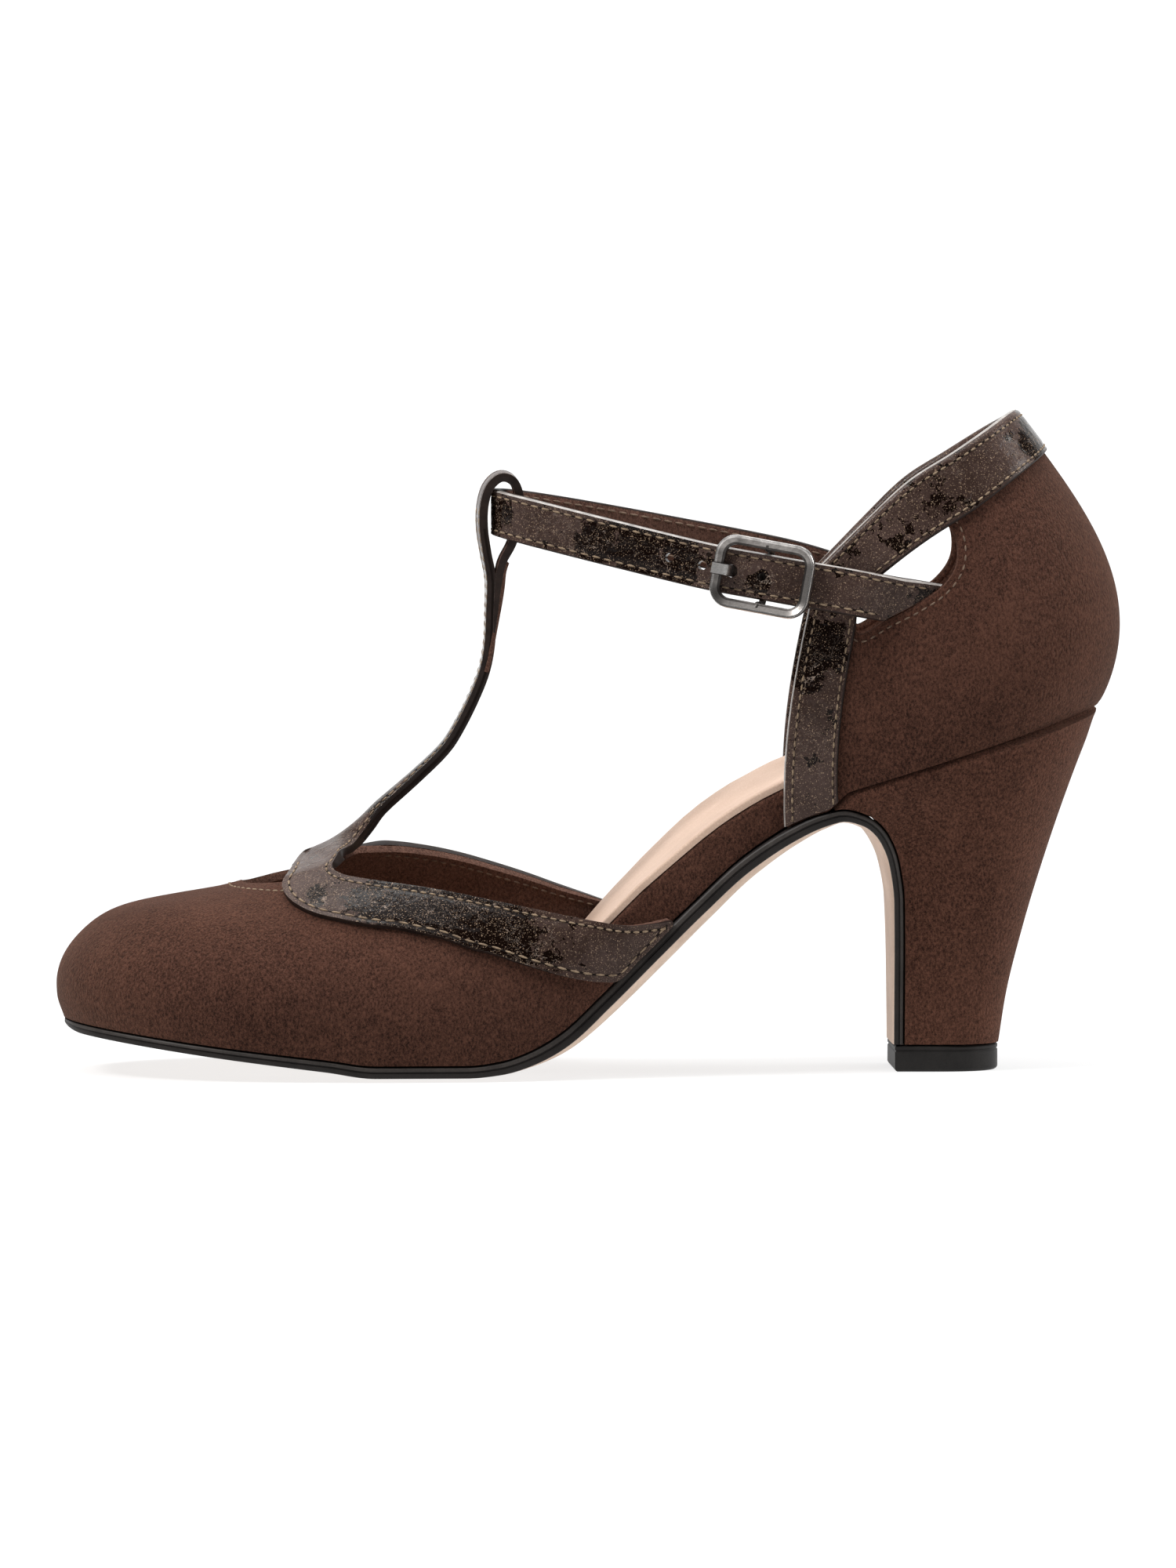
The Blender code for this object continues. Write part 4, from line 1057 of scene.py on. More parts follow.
def shade_strip(bm, path, sink):
    """Dark strip of painted shade, laid in the dip that a row of stitches draws into patent."""
    points = [point - out * sink for point, out in path]
    line = loft(sweep(points, [out for _, out in path], SHADE_STRIP_SECTION))
    for face in line.faces:
        face.material_index = 1
    join(bm, line)


def stitches(bm, path, sink=0.02, pitch=2.0, size=1.0):
    """Row of stitches along points with their outward directions."""
    points = [point for point, _ in path]
    runs = runs_of(points)
    count = max(1, int(runs[-1] / pitch))
    row = bmesh.new()
    for k in range(count):
        want = (k + 0.5) * runs[-1] / count
        i, here = at_run(points, runs, want)
        run = (points[i + 1] - points[i]).normalized()
        out = path[i][1]
        out = (out - run * out.dot(run)).normalized()
        turn = Matrix((run, out.cross(run), out)).transposed().to_4x4()
        long = 0.5 * STITCH_SHARE * pitch
        scale = Matrix.Diagonal((long, 0.5 * STITCH_WIDE * size, STITCH_HIGH * size, 1.0))
        place = Matrix.Translation(here - out * sink) @ turn @ scale
        bmesh.ops.create_uvsphere(row, u_segments=8, v_segments=4, radius=1.0, matrix=place)
    join(bm, row)


# Finishes


class Finish:
    """A material with the nodes that feed its shader; patterns read the place on the shoe."""

    def __init__(self, name, **fixed):
        self.material = bpy.data.materials.new(name)
        self.material.use_nodes = True
        self.tree = self.material.node_tree
        self.shader = self.tree.nodes["Principled BSDF"]
        for socket, value in fixed.items():
            self.shader.inputs[socket.replace("_", " ")].default_value = value
        self.place = self.add("ShaderNodeTexCoord").outputs["Object"]

    def add(self, kind, links=(), **settings):
        node = self.tree.nodes.new(kind)
        for key, value in settings.items():
            setattr(node, key, value)
        for socket, value in links:
            self.put(node.inputs[socket], value)
        return node

    def put(self, socket, value):
        if isinstance(value, bpy.types.NodeSocket):
            self.tree.links.new(value, socket)
        else:
            socket.default_value = value

    def feed(self, socket, value):
        self.put(self.shader.inputs[socket], value)

    def noise(self, scale, detail, rough, place=None):
        links = (("Vector", place or self.place), ("Scale", scale))
        links += (("Detail", detail), ("Roughness", rough))
        return self.add("ShaderNodeTexNoise", links).outputs["Fac"]

    def pores(self, scale, place):
        """Distance from the borders of scattered cells."""
        links = (("Vector", place), ("Scale", scale))
        node = self.add("ShaderNodeTexVoronoi", links, feature="DISTANCE_TO_EDGE")
        return node.outputs["Distance"]

    def stretch(self, scale, turn=(0.0, 0.0, 0.0)):
        links = (("Vector", self.place), ("Rotation", turn), ("Scale", scale))
        return self.add("ShaderNodeMapping", links).outputs["Vector"]

    def bent(self, scale, reach):
        """Place on the shoe, shaken by a noise."""
        links = (("Vector", self.place), ("Scale", scale), ("Detail", 3.0))
        shake = self.add("ShaderNodeTexNoise", links).outputs["Color"]
        links = ((0, shake), (1, (reach,) * 3))
        moved = self.add("ShaderNodeVectorMath", links, operation="MULTIPLY")
        links = ((0, self.place), (1, moved.outputs[0]))
        return self.add("ShaderNodeVectorMath", links, operation="ADD").outputs[0]

    def sum(self, *parts):
        """Weighted sum of patterns, each given with its weight."""
        total = None
        for value, weight in parts:
            share = self.math("MULTIPLY", value, weight)
            total = share if total is None else self.math("ADD", total, share)
        return total

    def math(self, operation, a, b=0.0):
        return self.add("ShaderNodeMath", ((0, a), (1, b)), operation=operation).outputs[0]

    def band(self, value, low, high, out_low=0.0, out_high=1.0):
        links = ((0, value), (1, low), (2, high), (3, out_low), (4, out_high))
        return self.add("ShaderNodeMapRange", links).outputs[0]

    def ridge(self, value, wide):
        """Thin winding lines where a noise crosses its middle."""
        apart = self.math("ABSOLUTE", self.math("SUBTRACT", value, 0.5))
        return self.band(apart, 0.0, wide, 1.0, 0.0)

    def ramp(self, value, *stops):
        """Colour between two stops, each given with its place."""
        node = self.add("ShaderNodeValToRGB", (("Fac", value),))
        for part, (at, colour) in zip(node.color_ramp.elements, stops):
            part.position = at
            part.color = (*colour, 1.0)
        return node.outputs["Color"]

    def blend(self, share, low, high):
        node = self.add("ShaderNodeMix", (("Factor", share),), data_type="RGBA")
        self.put(node.inputs[6], low if isinstance(low, bpy.types.NodeSocket) else (*low, 1.0))
        self.put(node.inputs[7], high if isinstance(high, bpy.types.NodeSocket) else (*high, 1.0))
        return node.outputs[2]

    def bumps(self, *layers):
        """Relief from patterns, each given with its strength and its height in millimetres."""
        normal = None
        for height, strength, deep in layers:
            links = [("Height", height), ("Strength", strength), ("Distance", deep * MM)]
            if normal is not None:
                links.append(("Normal", normal))
            normal = self.add("ShaderNodeBump", links).outputs["Normal"]
        self.feed("Normal", normal)


def suede_finish(name, dark, light, sheen):
    """Brushed nap: cloudy strokes, short fibres and a soft bloom where it turns away."""
    suede = Finish(
        name,
        Roughness=0.95,
        Specular_IOR_Level=0.1,
        Sheen_Weight=sheen,
        Sheen_Roughness=0.42,
        Sheen_Tint=(0.72, 0.46, 0.34, 1.0),
    )
    cloud = suede.noise(38.0, 3.0, 0.5)
    stroke = suede.noise(300.0, 3.0, 0.6, suede.bent(120.0, 0.004))
    nap = suede.noise(2000.0, 3.0, 0.6, suede.stretch((1.0, 1.0, 0.65), (0.0, 0.6, 0.0)))
    fibre = suede.noise(4400.0, 2.0, 0.7)
    tone = suede.sum((cloud, 0.13), (stroke, 0.09), (nap, 0.44), (fibre, 0.34))
    suede.feed("Base Color", suede.ramp(tone, (0.40, dark), (0.60, light)))
    suede.bumps((nap, 0.9, 0.5), (fibre, 0.7, 0.25))
    return suede.material


# Black places of the patent, partly real damage and partly painted shade where the painted
# reflection stops, seen from the side: x, z and reach in millimetres, and depth
CRUSHED_AND_SHADED = (
    # Wing, from the bridge backwards
    (-58.5, 39.0, 3.0, 1.0),
    (-46.0, 37.5, 6.5, 1.0),
    (-36.0, 35.5, 13.0, 1.2),
    (-27.0, 33.0, 14.0, 1.2),
    (-20.0, 31.5, 10.5, 1.2),
    (-9.7, 26.4, 2.2, 1.0),
    # T-strap
    (-42.0, 55.0, 8.0, 1.0),
    (-33.0, 67.0, 10.0, 1.0),
    (-26.0, 82.0, 11.0, 1.0),
    (-21.5, 100.0, 12.0, 1.0),
    # Ankle strap, from the loop backwards
    (-20.0, 118.5, 4.5, 1.0),
    (1.7, 112.4, 7.0, 1.0),
    (10.0, 110.7, 9.5, 1.0),
    (18.3, 108.7, 8.0, 1.0),
    (34.5, 104.5, 3.5, 1.0),
    (70.5, 101.0, 4.5, 1.0),
    # Front band, collar and its back
    (47.5, 91.0, 8.0, 1.0),
    (45.5, 85.0, 5.0, 1.0),
    (64.0, 112.5, 9.0, 0.5),
    (74.0, 121.0, 10.0, 0.5),
    (97.0, 136.0, 8.0, 1.3),
)


def patent_finish():
    """Crackled patent: a grey-brown coat with gilt dust, partly its own colour and partly painted
    reflection of the lights, and black places veined with frost.
    """
    patent = Finish("crackled_patent", Specular_IOR_Level=0.1)
    side_view = patent.stretch((1.0, 0.0, 1.0))
    crushed_and_shaded = None
    for x, z, reach, depth in CRUSHED_AND_SHADED:
        links = ((0, side_view), (1, (x * MM, 0.0, z * MM)))
        apart = patent.add("ShaderNodeVectorMath", links, operation="DISTANCE").outputs["Value"]
        spot = patent.band(apart, 0.2 * reach * MM, 1.3 * reach * MM, depth, 0.0)
        crushed_and_shaded = spot if crushed_and_shaded is None else patent.math("MAXIMUM", crushed_and_shaded, spot)
    ragged = patent.bent(300.0, 0.007)
    feather = patent.noise(260.0, 4.0, 0.55, ragged)
    stray = patent.band(patent.noise(210.0, 3.0, 0.6, ragged), 0.56, 0.68, 0.0, 0.7)
    level = patent.sum((patent.math("MAXIMUM", crushed_and_shaded, stray), 1.0), (feather, 1.6))
    black = patent.band(level, 1.27, 1.33)
    frost = patent.ridge(patent.noise(190.0, 3.0, 0.6, patent.bent(260.0, 0.005)), 0.0075)
    crinkle = patent.ridge(patent.noise(520.0, 3.0, 0.6, patent.bent(900.0, 0.001)), 0.018)
    cluster = patent.band(patent.noise(115.0, 2.0, 0.5, ragged), 0.47, 0.58)
    near = patent.math("MULTIPLY", patent.band(crushed_and_shaded, 0.1, 0.45), cluster)
    apart = patent.band(patent.noise(80.0, 2.0, 0.5), 0.46, 0.62, 0.0, 0.3)
    veins = patent.math("MULTIPLY", frost, near)
    lines = patent.math("MAXIMUM", veins, patent.math("MULTIPLY", crinkle, apart))
    fleck = patent.band(patent.noise(3600.0, 1.0, 0.5), 0.63, 0.68)
    cloud = patent.noise(75.0, 3.0, 0.55, ragged)
    grain = patent.noise(1500.0, 2.0, 0.6)
    tone = patent.sum((cloud, 0.6), (grain, 0.4))
    # Grey-brown tone: partly the patent's colour, partly painted reflection of the lights
    film_and_painted_sheen = patent.ramp(tone, (0.38, (0.0290, 0.0168, 0.0133)), (0.62, (0.0610, 0.0385, 0.0325)))
    # Black places laid over it: partly real damage, partly painted shade
    worn = patent.blend(black, film_and_painted_sheen, (0.0045, 0.0019, 0.0012))
    cracked = patent.blend(patent.math("MULTIPLY", lines, 0.85), worn, (0.30, 0.225, 0.180))
    gilt = patent.blend(patent.math("MULTIPLY", fleck, 0.5), cracked, (0.40, 0.280, 0.190))
    patent.feed("Base Color", gilt)
    patent.feed("Roughness", patent.band(black, 0.0, 1.0, 0.28, 0.12))
    swell = patent.noise(190.0, 4.0, 0.5, ragged)
    patent.bumps((swell, 0.8, 0.45), (lines, 0.6, 0.14))
    return patent.material


def plain_finish(name, dark, light, scale, rough, relief, shine=0.5, **fixed):
    """Cloudy two-tone finish with fine grain, for edges, rubber, thread and floor."""
    plain = Finish(name, Roughness=rough, Specular_IOR_Level=shine, **fixed)
    cloud = plain.noise(scale, 4.0, 0.6)
    grain = plain.noise(scale * 14.0, 2.0, 0.6)
    tone = plain.sum((cloud, 0.65), (grain, 0.35))
    plain.feed("Base Color", plain.ramp(tone, (0.36, dark), (0.64, light)))
    plain.bumps((grain, 0.4, relief))
    return plain.material


def sock_finish():
    """Pale smooth sock: faint pores, soft handling marks."""
    sock = Finish("pale_sock", Roughness=0.62, Specular_IOR_Level=0.3)
    cloud = sock.noise(60.0, 4.0, 0.6)
    grain = sock.pores(1500.0, sock.bent(700.0, 0.0006))
    tone = sock.sum((cloud, 0.7), (grain, 0.5))
    pale = sock.ramp(tone, (0.3, (0.455, 0.318, 0.240)), (0.62, (0.555, 0.405, 0.315)))
    sock.feed("Base Color", pale)
    sock.bumps((grain, 0.18, 0.1))
    return sock.material


def metal_finish(name, colour, rough):
    """Aged silver: cloudy tarnish and fine rubbing marks."""
    metal = Finish(name, Metallic=1.0)
    cloud = metal.noise(500.0, 4.0, 0.65)
    rub = metal.noise(1.0, 2.0, 0.6, metal.stretch((900.0, 900.0, 5000.0)))
    tone = metal.sum((cloud, 0.7), (rub, 0.3))
    worn = tuple(min(1.0, part * 1.35) for part in colour)
    aged = tuple(part * 0.6 for part in colour)
    metal.feed("Base Color", metal.ramp(tone, (0.34, aged), (0.62, worn)))
    metal.feed("Roughness", metal.band(tone, 0.3, 0.7, rough + 0.1, rough - 0.08))
    metal.bumps((rub, 0.15, 0.05))
    return metal.material


SUEDE = suede_finish("brown_suede", (0.018, 0.0068, 0.0044), (0.102, 0.0440, 0.0288), 0.14)
# Lighter copy of the same suede for the heel: painted light on a cover that faces down, away from
# the lamps
HEEL_SUEDE_PAINTED_LIGHT = suede_finish("heel_suede_painted_light", (0.023, 0.0087, 0.0056), (0.130, 0.0560, 0.0366), 0.14)
LINING = suede_finish("brown_lining", (0.052, 0.0260, 0.0190), (0.150, 0.0780, 0.0570), 0.05)
PATENT = patent_finish()
SOCK = sock_finish()

# Dark and light tone, scale of the pattern, roughness, relief and shine
EDGE = plain_finish(
    "dark_edge_paint", (0.009, 0.0050, 0.0040), (0.024, 0.0145, 0.0115), 420.0, 0.42, 0.02, 0.16
)
# Pale glossy finish that paints a highlight on the rounded folds and edges of the patent
FOLD_PAINTED_HIGHLIGHT = plain_finish(
    "painted_fold_highlight", (0.15, 0.132, 0.120), (0.36, 0.330, 0.305), 420.0, 0.22, 0.02, 0.8
)
THREAD = plain_finish(
    "tan_thread", (0.11, 0.070, 0.042), (0.30, 0.215, 0.135), 900.0, 0.8, 0.1
)
BROWN_THREAD = plain_finish(
    "brown_thread", (0.070, 0.042, 0.027), (0.190, 0.122, 0.080), 900.0, 0.8, 0.1
)
# Near-black finish for the strips of painted shade in the seams
SEAM_PAINTED_SHADE = plain_finish(
    "seam_shadow", (0.0045, 0.0022, 0.0015), (0.0090, 0.0048, 0.0034), 600.0, 0.7, 0.05, 0.1
)
SOLE_EDGE_DARK = plain_finish(
    "sole_edge_dark", (0.008, 0.0062, 0.0055), (0.017, 0.0135, 0.0120), 180.0, 0.5, 0.06, 0.22
)
SOLE_EDGE_GREY = plain_finish(
    "sole_edge_grey", (0.024, 0.0200, 0.0178), (0.046, 0.0390, 0.0350), 180.0, 0.5, 0.06, 0.25
)
SOLE_BOTTOM = plain_finish(
    "pale_sole_bottom", (0.50, 0.36, 0.27), (0.66, 0.50, 0.39), 90.0, 0.6, 0.1
)
RUBBER = plain_finish(
    "black_rubber", (0.008, 0.0068, 0.0062), (0.016, 0.0138, 0.0125), 240.0, 0.55, 0.08, 0.25
)

# Silver, with a lighter copy for painted highlight and darker copies for painted half shade and
# painted shade
METAL = metal_finish("aged_silver", (0.42, 0.40, 0.385), 0.26)
METAL_PAINTED_HIGHLIGHT = metal_finish("silver_painted_highlight", (0.62, 0.60, 0.58), 0.3)
METAL_PAINTED_HALF_SHADE = metal_finish("silver_painted_half_shade", (0.21, 0.195, 0.184), 0.36)
METAL_PAINTED_SHADE = metal_finish("silver_painted_shade", (0.055, 0.050, 0.047), 0.42)


# Sole and heel

# Edge of the outsole in section: share of its thickness, and inset
SOLE_EDGE_SHAPE = (
    (0.00, 0.50), (0.07, 0.14), (0.18, 0.00),
    (0.38, 0.00), (0.43, 0.26), (0.50, 0.26),
    (0.55, 0.00), (0.86, 0.00), (0.96, 0.12),
)
SOLE_ROUND = 4.5
SOLE_TIP_SHARE = 0.12
FLANK_FRONT, FLANK_REAR = 2.0, 6.0
FLANK_CHANGE = (-35.0, 35.0)
SOLE_BOTTOM_SHARES = (1.0, 0.94, 0.82, 0.6, 0.3, 0.0, -0.3, -0.6, -0.82, -0.94, -1.0)


def sole_ring(run):
    """Section of the outsole: flat upper face, grooved edge and crowned bottom."""
    top = sole_point(run)
    normal = sole_normal(run)
    halves = {}
    for side, name in ((-1, "lateral"), (1, "medial")):
        halves[side] = SOLE.at(name, run)
        if top.x < TOE_END_X:
            halves[side] = sole_edge(top.x, side)
    front = max(0.0, 1.0 - run / SOLE_ROUND)
    thick = SOLE.at("thick", run) * max(SOLE_TIP_SHARE, math.sqrt(1.0 - front * front))
    crown = SOLE.at("crown", run) * (1.0 - front)
    flank = mix(FLANK_FRONT, FLANK_REAR, change(top.x, FLANK_CHANGE))
    centre = 0.5 * (halves[1] - halves[-1])
    half = 0.5 * (halves[1] + halves[-1])
    trim = min(1.0, 0.5 * half)
    lip = min(0.5, 0.25 * half)

    def edge(side, deep, inset):
        return top + ACROSS * (centre + side * (half - inset * trim)) - normal * (deep * thick)

    ring = [top + ACROSS * (centre + share * (half - lip)) for share in (-0.5, 0.0, 0.5)]
    ring += [edge(1, deep, inset) for deep, inset in SOLE_EDGE_SHAPE]
    for share in SOLE_BOTTOM_SHARES:
        deep = thick + crown * (1.0 - abs(share) ** flank)
        ring.append(top + ACROSS * (centre + share * (half - lip)) - normal * deep)
    ring += [edge(-1, deep, inset) for deep, inset in reversed(SOLE_EDGE_SHAPE)]
    return ring


def make_outsole():
    toe_run = SOLE.key[TOE_ROW]
    toe_steps, steps = 40, 130
    runs = [toe_run * mix(0.004, 1.0, (i / toe_steps) ** 2) for i in range(toe_steps)]
    runs += [mix(toe_run, SOLE.length, i / steps) for i in range(steps + 1)]
    edge = len(SOLE_EDGE_SHAPE)
    bottom = len(SOLE_BOTTOM_SHARES)
    paint = [0] * (3 + edge) + [1] * (bottom - 1) + [0] * (edge + 1)
    paint[4:6] = paint[-4:-2] = [2, 2]  # grey upper line of both edges
    bm = loft([sole_ring(run) for run in runs], paint)
    finishes = (SOLE_EDGE_DARK, SOLE_BOTTOM, SOLE_EDGE_GREY)
    piece("outsole_long", bm, finishes, "outsole", "outsole", sharp=40.0)


def d_shares(count):
    """Shares along a D-shaped ring, closer together at its back."""
    return [1.0 - (1.0 - i / count) ** D_POWER for i in range(count + 1)]


# Heel's top, tucked in under the cup: from this share of its height, at the back and at each side
HEEL_TUCK_FROM = 0.86
HEEL_TUCK_BACK = 0.6
HEEL_TUCK_SIDE = 0.3
HEEL_SEAT_LIPS = ((0.6, 0.6), (0.3, 0.85), (0.0, 1.1))
HEEL_SEAT_WIDER = 0.1
HEEL_SEAT_RAISED = 0.15
HEEL_STEPS = 44
D_POWER = 1.8


def make_heel():
    shares = d_shares(36)
    rings = []
    for i in range(HEEL_STEPS + 1):
        share = i / HEEL_STEPS
        front, front_half = heel_front(share)
        back = Vector((HEEL.at("back_x", share), 0.0, HEEL.at("back_z", share)))
        tuck = smooth((share - HEEL_TUCK_FROM) / (1.0 - HEEL_TUCK_FROM))
        back.x -= HEEL_TUCK_BACK * tuck
        half = HEEL.at("half", share) - HEEL_TUCK_SIDE * tuck
        rings.append(heel_outline(front, back, front_half, half, shares))
    front_x = heel_front(1.0)[0].x
    for drop, inset in HEEL_SEAT_LIPS:
        seat = []
        for share in shares:
            x = mix(front_x, CUP[-1][0] - inset, share)
            wide = max(0.0, cup_half_at(x) + HEEL_SEAT_WIDER - inset)
            z = last_z(x) - GAP + HEEL_SEAT_RAISED - drop
            seat.append((Vector((x, 0.0, z)), wide))
        top = [point - ACROSS * wide for point, wide in seat]
        top += [point + ACROSS * wide for point, wide in reversed(seat[:-1])]
        rings.append(top)
    piece("heel_block", loft(rings), (HEEL_SUEDE_PAINTED_LIGHT,), "suede", "heel")


# Heel's top piece in section: height and inset
TOP_PIECE_LEVELS = (
    (0.0, 0.55), (0.25, 0.18), (0.6, 0.0), (4.1, 0.0), (4.3, 0.2),
    (4.5, 0.2), (4.7, 0.0), (TOP_PIECE_HIGH - 0.3, 0.0), (TOP_PIECE_HIGH, 0.3),
)


def make_top_piece():
    shares = d_shares(30)
    front = Vector((TOP_PIECE_FRONT_X, 0.0, 0.0))
    back = Vector((TOP_PIECE_BACK_X, 0.0, 0.0))
    rings = []
    for z, inset in TOP_PIECE_LEVELS:
        near = front + Vector((inset, 0.0, z))
        far = back + Vector((-inset, 0.0, z))
        halves = (TOP_PIECE_FRONT_HALF - inset, TOP_PIECE_HALF - inset)
        rings.append(heel_outline(near, far, *halves, shares))
    piece("heel_tip", loft(rings), (RUBBER,), "top_piece", "heel_top_piece", sharp=35.0)


def board_sides(x, extra):
    """Distance of the board's edges from the long axis, less an extra inset."""
    sides = {}
    inset = board_inset(x) + extra
    for side in (-1, 1):
        if x < TOE_END_X:
            share = (TOE_END_X - x) / (TOE_END_X - (TOE_X + inset))
            full = SOLE_EDGE.at("lateral", TOE_END_X) - inset - side * TOE_Y
            wide = max(0.0, 1.0 - share**TOE_POWER) ** (1.0 / TOE_POWER)
            sides[side] = side * TOE_Y + full * wide
        else:
            cup_edge = max(0.0, cup_half_at(max(x, QUARTER_FRONT_X), inset))
            sides[side] = mix(sole_edge(x, side) - inset, cup_edge, change(x, BOARD_TO_CUP))
    return sides


def board_ring(x, low, high, extra, soft):
    """Section of a layer between two levels over the sole line, with its upper edges rounded."""
    point, normal = board_line(x)
    sides = board_sides(x, extra)
    wide = sides[-1] + sides[1]
    soft = min(soft, 0.2 * wide)

    def at(share, inward, level, drop):
        rise = mix(BOARD.at("lateral", x), BOARD.at("medial", x), share)
        rise -= BOARD_DISH * share * (1.0 - share) * rise
        y = mix(-sides[-1], sides[1], share) + inward
        return point + ACROSS * y + normal * (level[0] * rise + level[1] - drop)

    ring = [at(i / 6.0, 0.0, low, 0.0) for i in range(7)]
    turns = [math.radians(turn) for turn in (0.0, 30.0, 60.0, 90.0)]
    corner = [(soft * (1.0 - math.cos(turn)), soft * (1.0 - math.sin(turn))) for turn in turns]
    ring += [at(1.0, -inward, high, drop) for inward, drop in corner]
    shares = [1.0 - soft / wide - (1.0 - 2.0 * soft / wide) * i / 10.0 for i in range(1, 10)]
    ring += [at(share, 0.0, high, 0.0) for share in shares]
    ring += [at(0.0, inward, high, drop) for inward, drop in reversed(corner)]
    return ring


BOARD_STEPS = 110
BOARD_END_X = 105.9
BOARD_ROUND = 1.3
SOCK_END_X = 105.2
SOCK_INSET = 0.5
SOCK_ROUND = 0.6


def layer_rings(first, final, *layer):
    """Sections of a layer, closer together at its ends."""
    shares = [0.5 - 0.5 * math.cos(math.pi * i / BOARD_STEPS) for i in range(BOARD_STEPS + 1)]
    return [board_ring(mix(first, final, share), *layer) for share in shares]


def make_boards():
    rings = layer_rings(TOE_X + 2.95, BOARD_END_X, (0.0, 0.0), (1.0, 0.0), 0.0, BOARD_ROUND)
    piece("insole_board_wrapped", loft(rings), (SUEDE,), "suede", "insole_board")
    low, high = (1.0, 0.04), (1.0, GAP + SOCK_THICK)
    rings = layer_rings(TOE_X + 3.6, SOCK_END_X, low, high, SOCK_INSET, SOCK_ROUND)
    piece("sock_sheet", loft(rings), (SOCK,), "sock", "insole")


# Vamp with its keyhole

# Soft creases of the vamp in side view: x and z of both ends, width and depth
VAMP_CREASES = (
    (-71.0, 29.5, -61.0, 24.0, 2.6, 0.28),
    (-66.0, 25.0, -57.0, 18.5, 3.0, 0.22),
    (-50.0, 27.0, -40.0, 17.0, 3.4, 0.20),
)


def crease_depth(point):
    """How far the soft creases of the vamp sink, seen from the side."""
    total = 0.0
    for x0, z0, x1, z1, wide, deep in VAMP_CREASES:
        run = Vector((x1 - x0, z1 - z0))
        off = Vector((point.x - x0, point.z - z0))
        t = min(1.0, max(0.0, off.dot(run) / run.length_squared))
        apart = (off - run * t).length
        total += deep * math.exp(-((apart / wide) ** 2))
    return total


KEYHOLE_SEAM = 0.045
KEYHOLE_SEAM_END = 0.4


def vamp_rib(t):
    """Place of a rib, closer together at the toe."""
    return math.copysign(0.55 * abs(t) + 0.45 * abs(t) ** 1.6, t)


def make_vamp():
    ribs, levels = 220, 44
    keys = [vamp_rib(2.0 * i / ribs - 1.0) for i in range(ribs + 1)]
    tops = [topline_v(u) for u in keys]

    def place(i, j):
        u = keys[j]
        v = tops[j] * i / levels
        point = last(u, v)
        return point - last_normal(u, v) * crease_depth(point)

    sheet = sheet_of(levels, ribs, place)
    obj = piece("vamp_suede", sheet, (SUEDE, LINING, LINING), "suede", "vamp")
    wall(obj, VAMP_WALL)
    soft_edge(obj, 0.5)
    edge = []
    for u, top in zip(keys, tops):
        if abs(u) < KEYHOLE_SEAM_END:
            v = top - KEYHOLE_SEAM
            edge.append((last(u, v), last_normal(u, v)))
    bm = bmesh.new()
    stitches(bm, edge, size=0.9)
    piece("keyhole_stitches", bm, (THREAD,), "suede")


# T-piece: wings, bridge, T-strap and its loop

WING_TOP = 1.35
WING_SEAM_LOW = 1.6
WING_SEAM_HIGH = 1.25
INSIDE_SEAMS = ((WING_SEAM_LOW, False), (WING_SEAM_HIGH, True))
SEAM_DIP = 0.16
SEAM_DIP_WIDE = 0.5
WING_ROWS = 15
T_SPINE_ROW = WING_ROWS + len(WING_CORNER)
SEAM_START = 0.3
T_SEAM_END = 38.0
LOW_SEAM_SHORT = {-1: 0.4, 1: 1.4}
INSIDE_SEAM_END = 14.0
RIM_LINE = (3.5, 15.0)
RIM_STEPS = 39
T_STRAP_THICK = 2.15
T_LAYER = 1.3
LOOP_LEAN = 0.06
LOOP_LEAN_IN = (11.0, 4.0)
LOOP_LEAN_OUT = (18.0, 3.0)
LINING_DEPTH = WING_TOP + VAMP_WALL
WING_PITCH = 2.9
SHADE_STRIP_SINK = 0.13
STITCH_SINK = 0.1
LINING_END = (
    (-16.75, 107.8), (-17.35, 105.8), (-17.7, 102.5), (-18.25, 99.0),
    (-19.0, 95.0), (-19.75, 91.0), (-20.55, 87.0), (-21.2, 84.6),
)


def dip(apart):
    """Depth of the leather beside a row of stitches."""
    return SEAM_DIP * math.exp(-((apart / SEAM_DIP_WIDE) ** 2))


